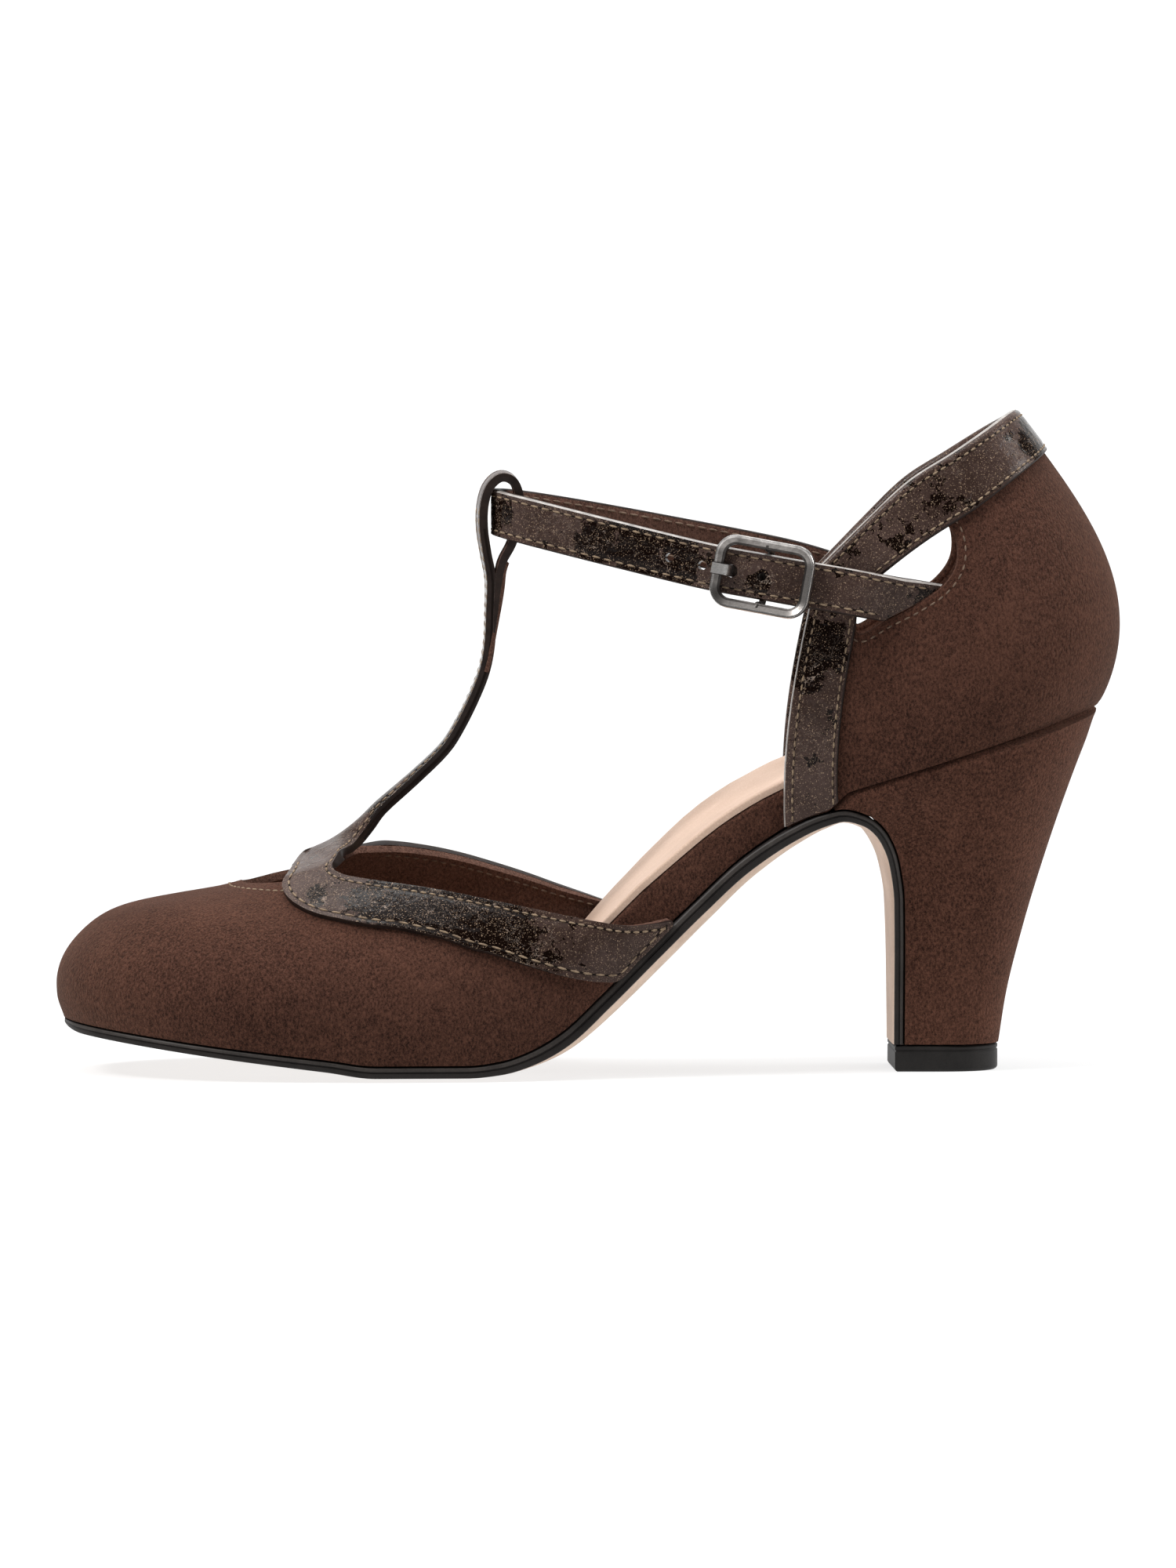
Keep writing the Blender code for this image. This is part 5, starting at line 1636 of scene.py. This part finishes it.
def t_rows(side, columns):
    """Rows across one half of the T-piece, from its outer edge inwards, and their thickness."""
    shares = [k / columns for k in range(columns + 1)]
    rows = []
    for i in range(WING_ROWS):
        u = mix(1.0, WING_START, i / (WING_ROWS - 1.0))
        top = topline_v(side * u)
        rows.append(((u, wing_low(side * u, top)), (u, top)))
    joint = topline_v(WING_START)
    raised = rows[-1][0][1] - wing_low(-WING_START, topline_v(-WING_START))
    foot_v = on_outer_last(*BRIDGE_EDGE[-1])[1]
    span = len(WING_CORNER) + len(BRIDGE_EDGE)
    for i, (outer_x, outer_z, inner_x, inner_z) in enumerate(WING_CORNER):
        outer_u, outer_v = on_outer_last(outer_x, outer_z)
        inner_u, inner_v = on_outer_last(inner_x, inner_z)
        if side > 0:
            outer_u += INNER_CORNER_BACK * (i + 1.0) / len(WING_CORNER)
            outer_v += raised * (1.0 - (i + 1.0) / len(WING_CORNER))
            inner_v = mix(joint, foot_v, (i + 1.0) / span)
        rows.append(((outer_u, outer_v), (inner_u, inner_v)))
    points = []
    for outer, inner in rows:
        row = []
        for t in shares:
            u, v = mix(outer[0], inner[0], t), mix(outer[1], inner[1], t)
            row.append(last_off(side * u, v, WING_TOP))
        points.append((row, WING_TOP - 0.05))
    for i, (inner_x, inner_z) in enumerate(BRIDGE_EDGE):
        centre, _ = spine_frame(float(i))
        u, v = on_outer_last(inner_x, inner_z)
        if side > 0:
            v = mix(joint, foot_v, (i + 1.0 + len(WING_CORNER)) / span)
        edge = last_off(side * u, v, WING_TOP)
        row = []
        for t in shares:
            point = centre.lerp(edge, t)
            point.z = mix(centre.z, edge.z, t * t)
            row.append(point)
        points.append((row, mix(WING_TOP, T_STRAP_THICK, (i + 1.0) / len(BRIDGE_EDGE))))
    for i in range(len(BRIDGE_EDGE), len(SPINE)):
        centre, normal = spine_frame(float(i))
        half = STRAP_SHAPE.at("half", i)
        drop = STRAP_SHAPE.at("drop", i)
        lean = LOOP_LEAN * change(i, LOOP_LEAN_IN) * (1.0 - change(i, LOOP_LEAN_OUT))
        row = []
        for t in shares:
            y = side * half * t
            row.append(centre + ACROSS * y - normal * (drop * t * t - lean * y))
        points.append((row, STRAP_SHAPE.at("thick", i) + 0.15))
    return points


def make_lining_end():
    """End of the T-strap's lining, lying over the tail of the loop."""
    line = [Vector((x, SPINE_Y[1], z)) for x, z in LINING_END]
    path = [curve_at(line, key) for key in even_keys(line, 48)]
    half = STRAP_SHAPE.at("half", 20.0) - 0.1
    section = ((0.0, -half + 0.3), (0.0, half - 0.3), (-0.3, half))
    section += ((-0.9, half), (-0.9, -half), (-0.3, -half))
    piece("t_lining_end", loft(sweep(path, ACROSS, section)), (LINING,), "patent")


def make_t_strap():
    columns, steps = 18, 4
    whole = bmesh.new()
    seams = bmesh.new()
    inside = bmesh.new()
    for side in (-1, 1):
        control = t_rows(side, 12)
        band = Band([row for row, _ in control])
        rows = int(band.end) * steps
        keys = []

        def place(i, j):
            key = j / steps
            keys.append(key)
            share = i / columns
            wide = band.width(key)
            down = dip((1.0 - share) * wide - WING_SEAM_HIGH)
            if key < T_SPINE_ROW:
                down += dip(share * wide - WING_SEAM_LOW)
            return band.at(key, share) + band.out(key, share) * (side * down)

        half = sheet_of(columns, rows, place)
        layer = half.verts.layers.deform.verify()
        for vert, key in zip(half.verts, keys):
            thick = mix(control[math.floor(key)][1], control[math.ceil(key)][1], key % 1.0)
            vert[layer][0] = thick / T_STRAP_THICK
        if side > 0:
            bmesh.ops.reverse_faces(half, faces=half.faces)
        join(whole, half)
        low_end = T_SPINE_ROW - LOW_SEAM_SHORT[side]
        low = band.seam(SEAM_START, low_end, WING_SEAM_LOW, False, -side)
        high = band.seam(SEAM_START, T_SEAM_END, WING_SEAM_HIGH, True, -side)
        for row, pitch in ((low, WING_PITCH), (high, 2.0)):
            shade_strip(seams, row, SHADE_STRIP_SINK)
            stitches(seams, row, STITCH_SINK, pitch)
        for inset, far in INSIDE_SEAMS:
            row = band.seam(SEAM_START, INSIDE_SEAM_END, inset, far, -side)
            stitches(inside, [(point - out * LINING_DEPTH, -out) for point, out in row], 0.0)
        # Strip of painted shade along each side of the T-strap, a layer's thickness under its outer
        # face
        rim = []
        for k in range(RIM_STEPS + 1):
            key = mix(*RIM_LINE, k / RIM_STEPS)
            centre, normal = spine_frame(key)
            deep = STRAP_SHAPE.at("drop", key) + T_LAYER
            y = side * STRAP_SHAPE.at("half", key)
            rim.append((centre + ACROSS * y - normal * deep, ACROSS * side))
        shade_strip(seams, rim, 0.0)
    bmesh.ops.remove_doubles(whole, verts=whole.verts, dist=1e-3)
    obj = piece("t_piece_patent", whole, (PATENT, LINING, EDGE, FOLD_PAINTED_HIGHLIGHT), "patent", "t_strap")
    obj.vertex_groups.new(name="thick")
    wall(obj, T_STRAP_THICK, "thick")
    # Its rounded edges take the painted fold highlight
    soft_edge(obj, 0.5, 3)
    piece("t_piece_stitches", seams, (THREAD, SEAM_PAINTED_SHADE), "patent")
    piece("t_piece_stitches_inside", inside, (BROWN_THREAD,), "patent")


# Heel cup with its windows and its trim

QUARTER_SHORT = 0.9
TRIM_TOP = 1.1
FOLD = 0.5 * (QUARTER_WALL + TRIM_TOP)
TRIM_SEAM_EDGE = 2.1
TRIM_SEAM_INNER = 1.15
TRIM_RISE = {"leg": 0.8, "outer": 2.5, "inner": 1.4}
TRIM_DROP = {"leg": 0.2, "collar": 1.1}
TRIM_TURN = (15.0, 5.0)
TRIM_INNER_SIDE = (-13.0, 24.0)
BACK_TAPER = 3.4
BACK_TAPER_PLACE = (60.0, 38.0)
BAND_EDGE = 0.35
WINDOW_STEPS = 72
WINDOW_ROLL = -0.75
WINDOW_SEAM = -1.5
WINDOW_SEAM_END = 43


def window_places(side, inset):
    """Places on the heel cup along a line beside the window's edge."""
    back = window_back(side)
    front = 0.0 if side < 0 else 1.0
    return [find_on(cup, x + back, z, front, 0.5) for x, z in window_outline(inset, WINDOW_STEPS)]


def make_quarter():
    columns, rows = 200, 56
    tops = [1.0 - QUARTER_SHORT / cup_rise(i / columns) for i in range(columns + 1)]

    def place(i, j):
        return cup(i / columns, tops[i] * j / rows)

    sheet = sheet_of(columns, rows, place)
    obj = piece("quarter_suede", sheet, (SUEDE, LINING, LINING), "suede", "quarter")
    wall(obj, QUARTER_WALL)
    cutters = []
    for side, _ in SIDES:
        outline = [(x + window_back(side), z) for x, z in window_outline(0.0, 90)]
        cutters.append(side_prism(outline, 0.0, side * 50.0))
    cut(obj, cutters)
    seams = bmesh.new()
    for side, name in SIDES:
        places = window_places(side, WINDOW_ROLL)
        path = [cup_off(u, v, -0.5 * QUARTER_WALL) for u, v in places]
        facing = [surface_normal(cup, u, v) for u, v in places]
        rolled = loft(sweep(path, facing, round_profile(0.5 * QUARTER_WALL + 0.06, 12), True))
        piece(f"window_roll_{name}", rolled, (SUEDE,), "suede")
        places = window_places(side, WINDOW_SEAM)
        high = max(range(WINDOW_STEPS), key=lambda i: places[i][1])
        row = []
        for u, v in (places[high:] + places[:high])[1:WINDOW_SEAM_END]:
            row.append((cup(u, v), surface_normal(cup, u, v)))
        stitches(seams, row, 0.05, size=0.9)
    piece("window_stitches", seams, (BROWN_THREAD,), "suede")


def trim_profile(wide, start):
    """Section of the trim: folded over the edge, across the band and back on the suede."""
    profile = []
    for k in range(9):
        turn = math.radians(-90.0 + 22.5 * k)
        across, up = FOLD * math.cos(turn), FOLD * math.sin(turn)
        profile.append((start + FOLD - across, TRIM_TOP - FOLD + up))
    steps = 16
    for k in range(1, steps):
        s = mix(start + FOLD, wide - BAND_EDGE, k / steps)
        down = dip(s - start - TRIM_SEAM_EDGE) + dip(wide - TRIM_SEAM_INNER - s)
        profile.append((s, TRIM_TOP - down))
    paint = [0] * len(profile)
    paint[4:6] = [2, 2]  # painted highlight on the fold
    profile += [(wide - BAND_EDGE, TRIM_TOP - 0.04), (wide - 0.1, TRIM_TOP - 0.2)]
    profile.append((wide, TRIM_TOP - 0.5))
    profile += [(wide, 0.03), (0.5 * wide, 0.03), (FOLD, 0.03), (0.8, 0.03)]
    paint += [1] * (len(profile) - len(paint))
    profile += [(0.8, -QUARTER_WALL - 0.03), (FOLD, -QUARTER_WALL - 0.03)]
    paint += [0] * (len(profile) - len(paint))
    return profile, paint


def make_trim():
    rows = trim_rows()
    edges = [Vector((*edge, 0.0)) for edge, _ in rows]
    inners = [Vector((*inner, 0.0)) for _, inner in rows]
    rings, edge_row, inner_row = [], [], []
    for i in range(2 * len(rows) - 1):
        edge = curve_at(edges, 0.5 * i)
        inner = curve_at(inners, 0.5 * i)
        span = (cup(inner.x, inner.y) - cup(edge.x, edge.y)).length
        near_end = min(0.5 * i, len(rows) - 1 - 0.5 * i)
        collar = change(near_end, TRIM_TURN)
        inner_side = change(i - len(rows), TRIM_INNER_SIDE)
        rise = mix(TRIM_RISE["outer"], TRIM_RISE["inner"], inner_side)
        rise = mix(TRIM_RISE["leg"], rise, collar)
        wide = span + mix(TRIM_DROP["leg"], TRIM_DROP["collar"], collar)
        wide -= BACK_TAPER * change(cup(edge.x, edge.y).x, BACK_TAPER_PLACE)

        def at(s, off):
            here = edge.lerp(inner, max(0.0, s) / span)
            point = cup_off(here.x, here.y, off)
            if s < 0.0:
                inside = edge.lerp(inner, 0.5 / span)
                point += (cup(edge.x, edge.y) - cup(inside.x, inside.y)).normalized() * -s
            return point

        profile, paint = trim_profile(wide, -rise)
        rings.append([at(s, off) for s, off in profile])
        for row, s in ((edge_row, TRIM_SEAM_EDGE - rise), (inner_row, wide - TRIM_SEAM_INNER)):
            here = edge.lerp(inner, s / span)
            row.append((at(s, TRIM_TOP - SEAM_DIP), surface_normal(cup, here.x, here.y)))
    finishes = (PATENT, EDGE, FOLD_PAINTED_HIGHLIGHT)
    piece("quarter_trim_patent", loft(rings, paint), finishes, "patent", "quarter_trim")
    seams = bmesh.new()
    for row in (edge_row, inner_row):
        shade_strip(seams, row, 0.0)
        stitches(seams, row, 0.0)
    piece("quarter_trim_stitches", seams, (THREAD, SEAM_PAINTED_SHADE), "patent")


# Ankle strap and buckle

STRAP_SEAM = 1.3
STRAP_SEAM_END = {-1: 60.5, 1: 71.0}
STRAP_PITCH = 2.6
STRAP_FACE_STEPS = 18
STRAP_ROUND = 0.35
PRONG_EXIT = -7.3
PRONG_CUT_AT = PRONG_EXIT + 0.3
PRONG_CUT = 1.35
TIP_HOLE_X = 35.6


def strap_profile():
    """Section of the ankle strap, quilted face, painted edges and flat lining, and finishes."""
    half, out = 0.5 * STRAP_WIDTH, 0.5 * STRAP_THICK
    profile, paint = [], []
    for k in range(STRAP_FACE_STEPS + 1):
        y = mix(-half + STRAP_ROUND, half - STRAP_ROUND, k / STRAP_FACE_STEPS)
        down = dip(half - abs(y) - STRAP_SEAM)
        profile.append((y, out - down + 0.05))
        paint.append(0)
    edge = ((0.1, out - 0.22), (0.0, out - 0.6), (0.0, -out + 0.5))
    edge += ((0.12, -out + 0.16), (0.4, -out))
    for inset, level in edge:
        profile.append((half - inset, level))
        paint.append(2)
    paint[STRAP_FACE_STEPS] = paint[STRAP_FACE_STEPS + 1] = 3  # painted highlight on the upper edge
    paint[-1] = 1
    for y in (2.0, 0.0, -2.0):
        profile.append((y, -out))
        paint.append(1)
    for inset, level in reversed(edge):
        profile.append((-half + inset, level))
        paint.append(2)
    return profile, paint


def make_ankle_strap():
    profile, paint = strap_profile()
    rings, rows, backs = [], {-1: [], 1: []}, {-1: [], 1: []}
    for key in even_keys(STRAP_CENTRE, 240):
        here, _, up, out = strap_frame(key)
        rings.append([here + up * y + out * level for y, level in profile])
        for side in rows:
            seam = here + up * side * (0.5 * STRAP_WIDTH - STRAP_SEAM)
            rows[side].append((seam + out * (0.5 * STRAP_THICK - SEAM_DIP + 0.05), out))
            backs[side].append((seam - out * 0.5 * STRAP_THICK, -out))
    finishes = (PATENT, LINING, EDGE, FOLD_PAINTED_HIGHLIGHT)
    obj = piece("ankle_strap_patent", loft(rings, paint), finishes, "patent", "ankle_strap")
    cutters = []
    for side, _ in SIDES:
        outline = [(x + window_back(side), z) for x, z in scoop_outline()]
        cutters.append(side_prism(outline, side * 12.0, side * 60.0))
    for x in (*STRAP_HOLES_X, TIP_HOLE_X):
        here, _, _, out = strap_frame(strap_key(x, -1))
        cutters.append(punch(here, out, 0.5 * STRAP_HOLE))
    place = buckle_place()
    out = place.to_3x3() @ Vector((0.0, 0.0, 1.0))
    cutters.append(punch(place @ Vector((PRONG_CUT_AT, 0.0, 0.0)), out, PRONG_CUT))
    cut(obj, cutters)
    seams = bmesh.new()
    inside = bmesh.new()
    for side in rows:
        kept = [spot for spot in rows[side] if spot[0].x < STRAP_SEAM_END[side]]
        shade_strip(seams, kept, 0.0)
        stitches(seams, kept, 0.0, STRAP_PITCH)
        kept = [spot for spot in backs[side] if spot[0].x < STRAP_SEAM_END[side]]
        stitches(inside, kept, 0.0, STRAP_PITCH)
    piece("ankle_strap_stitches", seams, (THREAD, SEAM_PAINTED_SHADE), "patent")
    piece("ankle_strap_stitches_inside", inside, (BROWN_THREAD,), "patent")


# Frame of the buckle in section, from its inner side, and the finish of each of its sides: painted
# shade on its inner wall and underside, painted half shade on its inner slope and outer wall
FRAME_SECTION = (
    (-0.85, -1.0), (-1.05, -0.7), (-1.05, 0.2), (-0.95, 0.3),
    (-0.55, 0.54), (0.4, 0.84), (0.66, 1.0), (0.86, 1.0),
    (1.0, 0.82), (1.05, 0.45), (1.05, -0.6), (0.85, -1.0),
)
FRAME_PAINT = (1, 1, 1, 1, 2, 0, 0, 0, 0, 2, 1, 1)

# Upper half of the tongue's flat section, and the finish of each side: painted highlight on its
# faces, painted shade on its edges
TONGUE_FLAT = ((0.25, 1.25), (0.5, 1.1), (0.5, -1.1), (0.25, -1.25))
TONGUE_PAINT = (1, 0, 1, 1, 1, 0, 1, 1)


def frame_path(level):
    """Middle line of the buckle's frame, a rectangle with round corners."""
    half_long = 0.5 * (BUCKLE_LENGTH - BUCKLE_WIRE)
    half_high = 0.5 * (BUCKLE_HEIGHT - BUCKLE_WIRE)
    path = []
    for corner, (sx, sy) in enumerate(((1, 1), (-1, 1), (-1, -1), (1, -1))):
        for k in range(11):
            angle = 0.5 * math.pi * (corner + k / 10.0)
            x = sx * (half_long - BUCKLE_CORNER) + BUCKLE_CORNER * math.cos(angle)
            y = sy * (half_high - BUCKLE_CORNER) + BUCKLE_CORNER * math.sin(angle)
            path.append(Vector((x, y, level)))
    return path


def make_buckle():
    place = buckle_place()
    along, up, out = (place.to_3x3().col[i].copy() for i in range(3))
    level = 0.5 * STRAP_THICK + GAP + 0.5 * BUCKLE_WIRE
    back = -(0.5 * STRAP_THICK + BAR_DROP)
    path = [place @ point for point in frame_path(level)]
    rim = loft(sweep(path, out, FRAME_SECTION, True), FRAME_PAINT)
    piece("buckle_rim", rim, (METAL, METAL_PAINTED_SHADE, METAL_PAINTED_HALF_SHADE), "buckle", "buckle_frame", sharp=32.0)
    high = 0.5 * (BUCKLE_HEIGHT - BUCKLE_WIRE)
    side = 0.5 * STRAP_WIDTH + GAP + 0.5 * BAR_WIRE + 0.1
    half = ((high, level), (side, level - 0.6), (side, back + 1.2), (side - 1.2, back), (0.0, back))
    bar = [Vector((0.0, y, z)) for y, z in half]
    bar += [Vector((0.0, -y, z)) for y, z in reversed(half[:-1])]
    line = [place @ curve_at(bar, key) for key in even_keys(bar, 60)]
    # The bar, which drops under the strap, is all in painted shade
    bar = loft(sweep(line, along, round_profile(0.5 * BAR_WIRE, 14)))
    piece("buckle_bar", bar, (METAL_PAINTED_SHADE,), "buckle")
    reach = 0.5 * (BAR_WIRE + PRONG_WIRE) + 0.1
    left = -0.5 * (BUCKLE_LENGTH - BUCKLE_WIRE)
    over = level + 0.5 * (BUCKLE_WIRE + PRONG_WIRE) + 0.05
    prong = []
    for degrees in (10.0, -35.0, -80.0, -125.0, -170.0):
        turn = math.radians(degrees)
        prong.append(Vector((reach * math.cos(turn), 0.0, back + reach * math.sin(turn))))
    prong += [
        Vector((-reach - 0.9, 0.0, back + 1.4)),
        Vector((PRONG_EXIT + 1.2, 0.0, -0.9)),
        Vector((PRONG_EXIT + 0.2, 0.0, 0.6)),
        Vector((PRONG_EXIT - 0.15, 0.0, over - 0.5)),
        Vector((PRONG_EXIT - 0.7, 0.0, over - 0.1)),
        Vector((left + 0.9, 0.0, over - 0.05)),
        Vector((left, 0.0, over)),
        Vector((left - 0.9, 0.0, over - 0.25)),
    ]
    line = [place @ curve_at(prong, key) for key in even_keys(prong, 72)]
    section = TONGUE_FLAT + tuple((-thick, wide) for thick, wide in reversed(TONGUE_FLAT))
    tongue = loft(sweep(line, up, section), TONGUE_PAINT)
    piece("buckle_tongue", tongue, (METAL_PAINTED_HIGHLIGHT, METAL_PAINTED_SHADE), "buckle", "buckle_prong", sharp=35.0)


# Floor, light and camera


STAGE_HALF = 4.0
STAGE_CURVE = 1.5


def make_stage():
    bm = bmesh.new()
    bmesh.ops.create_grid(bm, x_segments=1, y_segments=1, size=STAGE_HALF)
    far = [edge for edge in bm.edges if all(vert.co.y > 0.9 * STAGE_HALF for vert in edge.verts)]
    made = bmesh.ops.extrude_edge_only(bm, edges=far)["geom"]
    lifted = [item for item in made if isinstance(item, bmesh.types.BMVert)]
    bmesh.ops.translate(bm, verts=lifted, vec=(0.0, 0.0, STAGE_HALF))
    bmesh.ops.bevel(
        bm,
        geom=far,
        affect="EDGES",
        offset=STAGE_CURVE,
        segments=16,
        profile=0.5,
        material=-1,
        offset_type="OFFSET",
    )
    for face in bm.faces:
        face.smooth = True
    floor = new_object("studio_floor", bm)
    pale = plain_finish(
        "pale_floor",
        (0.20, 0.20, 0.20),
        (0.22, 0.22, 0.22),
        scale=3.0,
        rough=0.9,
        relief=0.01,
        shine=0.0,
        Emission_Color=(1.0, 1.0, 1.0, 1.0),
        Emission_Strength=0.76,
    )
    floor.data.materials.append(pale)


def soft_box(name, spot, aim, size, power):
    data = bpy.data.lights.new(name, "AREA")
    data.shape = "RECTANGLE"
    data.size, data.size_y = size
    data.energy = power
    lamp = bpy.data.objects.new(name, data)
    lamp.location = spot
    lamp.rotation_euler = (Vector(aim) - Vector(spot)).to_track_quat("-Z", "Y").to_euler()
    bpy.context.scene.collection.objects.link(lamp)


def make_light():
    world = bpy.data.worlds.new("white_studio")
    world.use_nodes = True
    sky = world.node_tree.nodes["Background"]
    sky.inputs["Color"].default_value = (1.0, 1.0, 1.0, 1.0)
    sky.inputs["Strength"].default_value = 0.1
    bpy.context.scene.world = world
    bpy.context.scene.view_settings.view_transform = "Standard"
    soft_box("key_box", (-1.15, -0.55, 1.4), (0.0, 0.0, 0.06), (0.5, 0.5), 27.0)
    soft_box("top_box", (0.0, 0.2, 1.6), (0.0, 0.2, 0.0), (2.2, 2.2), 34.0)
    soft_box("strip_box", (0.0, -0.1, 1.5), (0.0, -0.1, 0.0), (1.4, 0.3), 11.0)
    soft_box("side_box", (1.6, 0.1, 0.8), (0.0, 0.0, 0.06), (0.7, 0.7), 18.0)
    soft_box("back_box", (0.0, 2.2, 1.6), (0.0, 3.4, 0.6), (3.0, 1.2), 66.0)


VIEW_DISTANCE = 2.5
VIEW_TURN = math.radians(2.5)
VIEW_HEIGHT = 0.2
AIM_HEIGHT = 0.0607
FRAME_HEIGHT = 2000.0 / 6000.0


def make_camera():
    data = bpy.data.cameras.new("shop_camera")
    away = Vector((-math.sin(VIEW_TURN), -math.cos(VIEW_TURN), 0.0)) * VIEW_DISTANCE
    spot = away + Vector((0.0, 0.0, VIEW_HEIGHT))
    aim = Vector((0.0, 0.0, AIM_HEIGHT))
    data.sensor_fit = "VERTICAL"
    data.sensor_height = 36.0
    data.lens = data.sensor_height * (aim - spot).length / FRAME_HEIGHT
    camera = bpy.data.objects.new("shop_camera", data)
    camera.location = spot
    camera.rotation_euler = (aim - spot).to_track_quat("-Z", "Y").to_euler()
    bpy.context.scene.collection.objects.link(camera)
    bpy.context.scene.camera = camera


make_camera()
make_outsole()
make_heel()
make_top_piece()
make_boards()
make_vamp()
make_quarter()
make_trim()
make_t_strap()
make_lining_end()
make_ankle_strap()
make_buckle()
make_stage()
make_light()
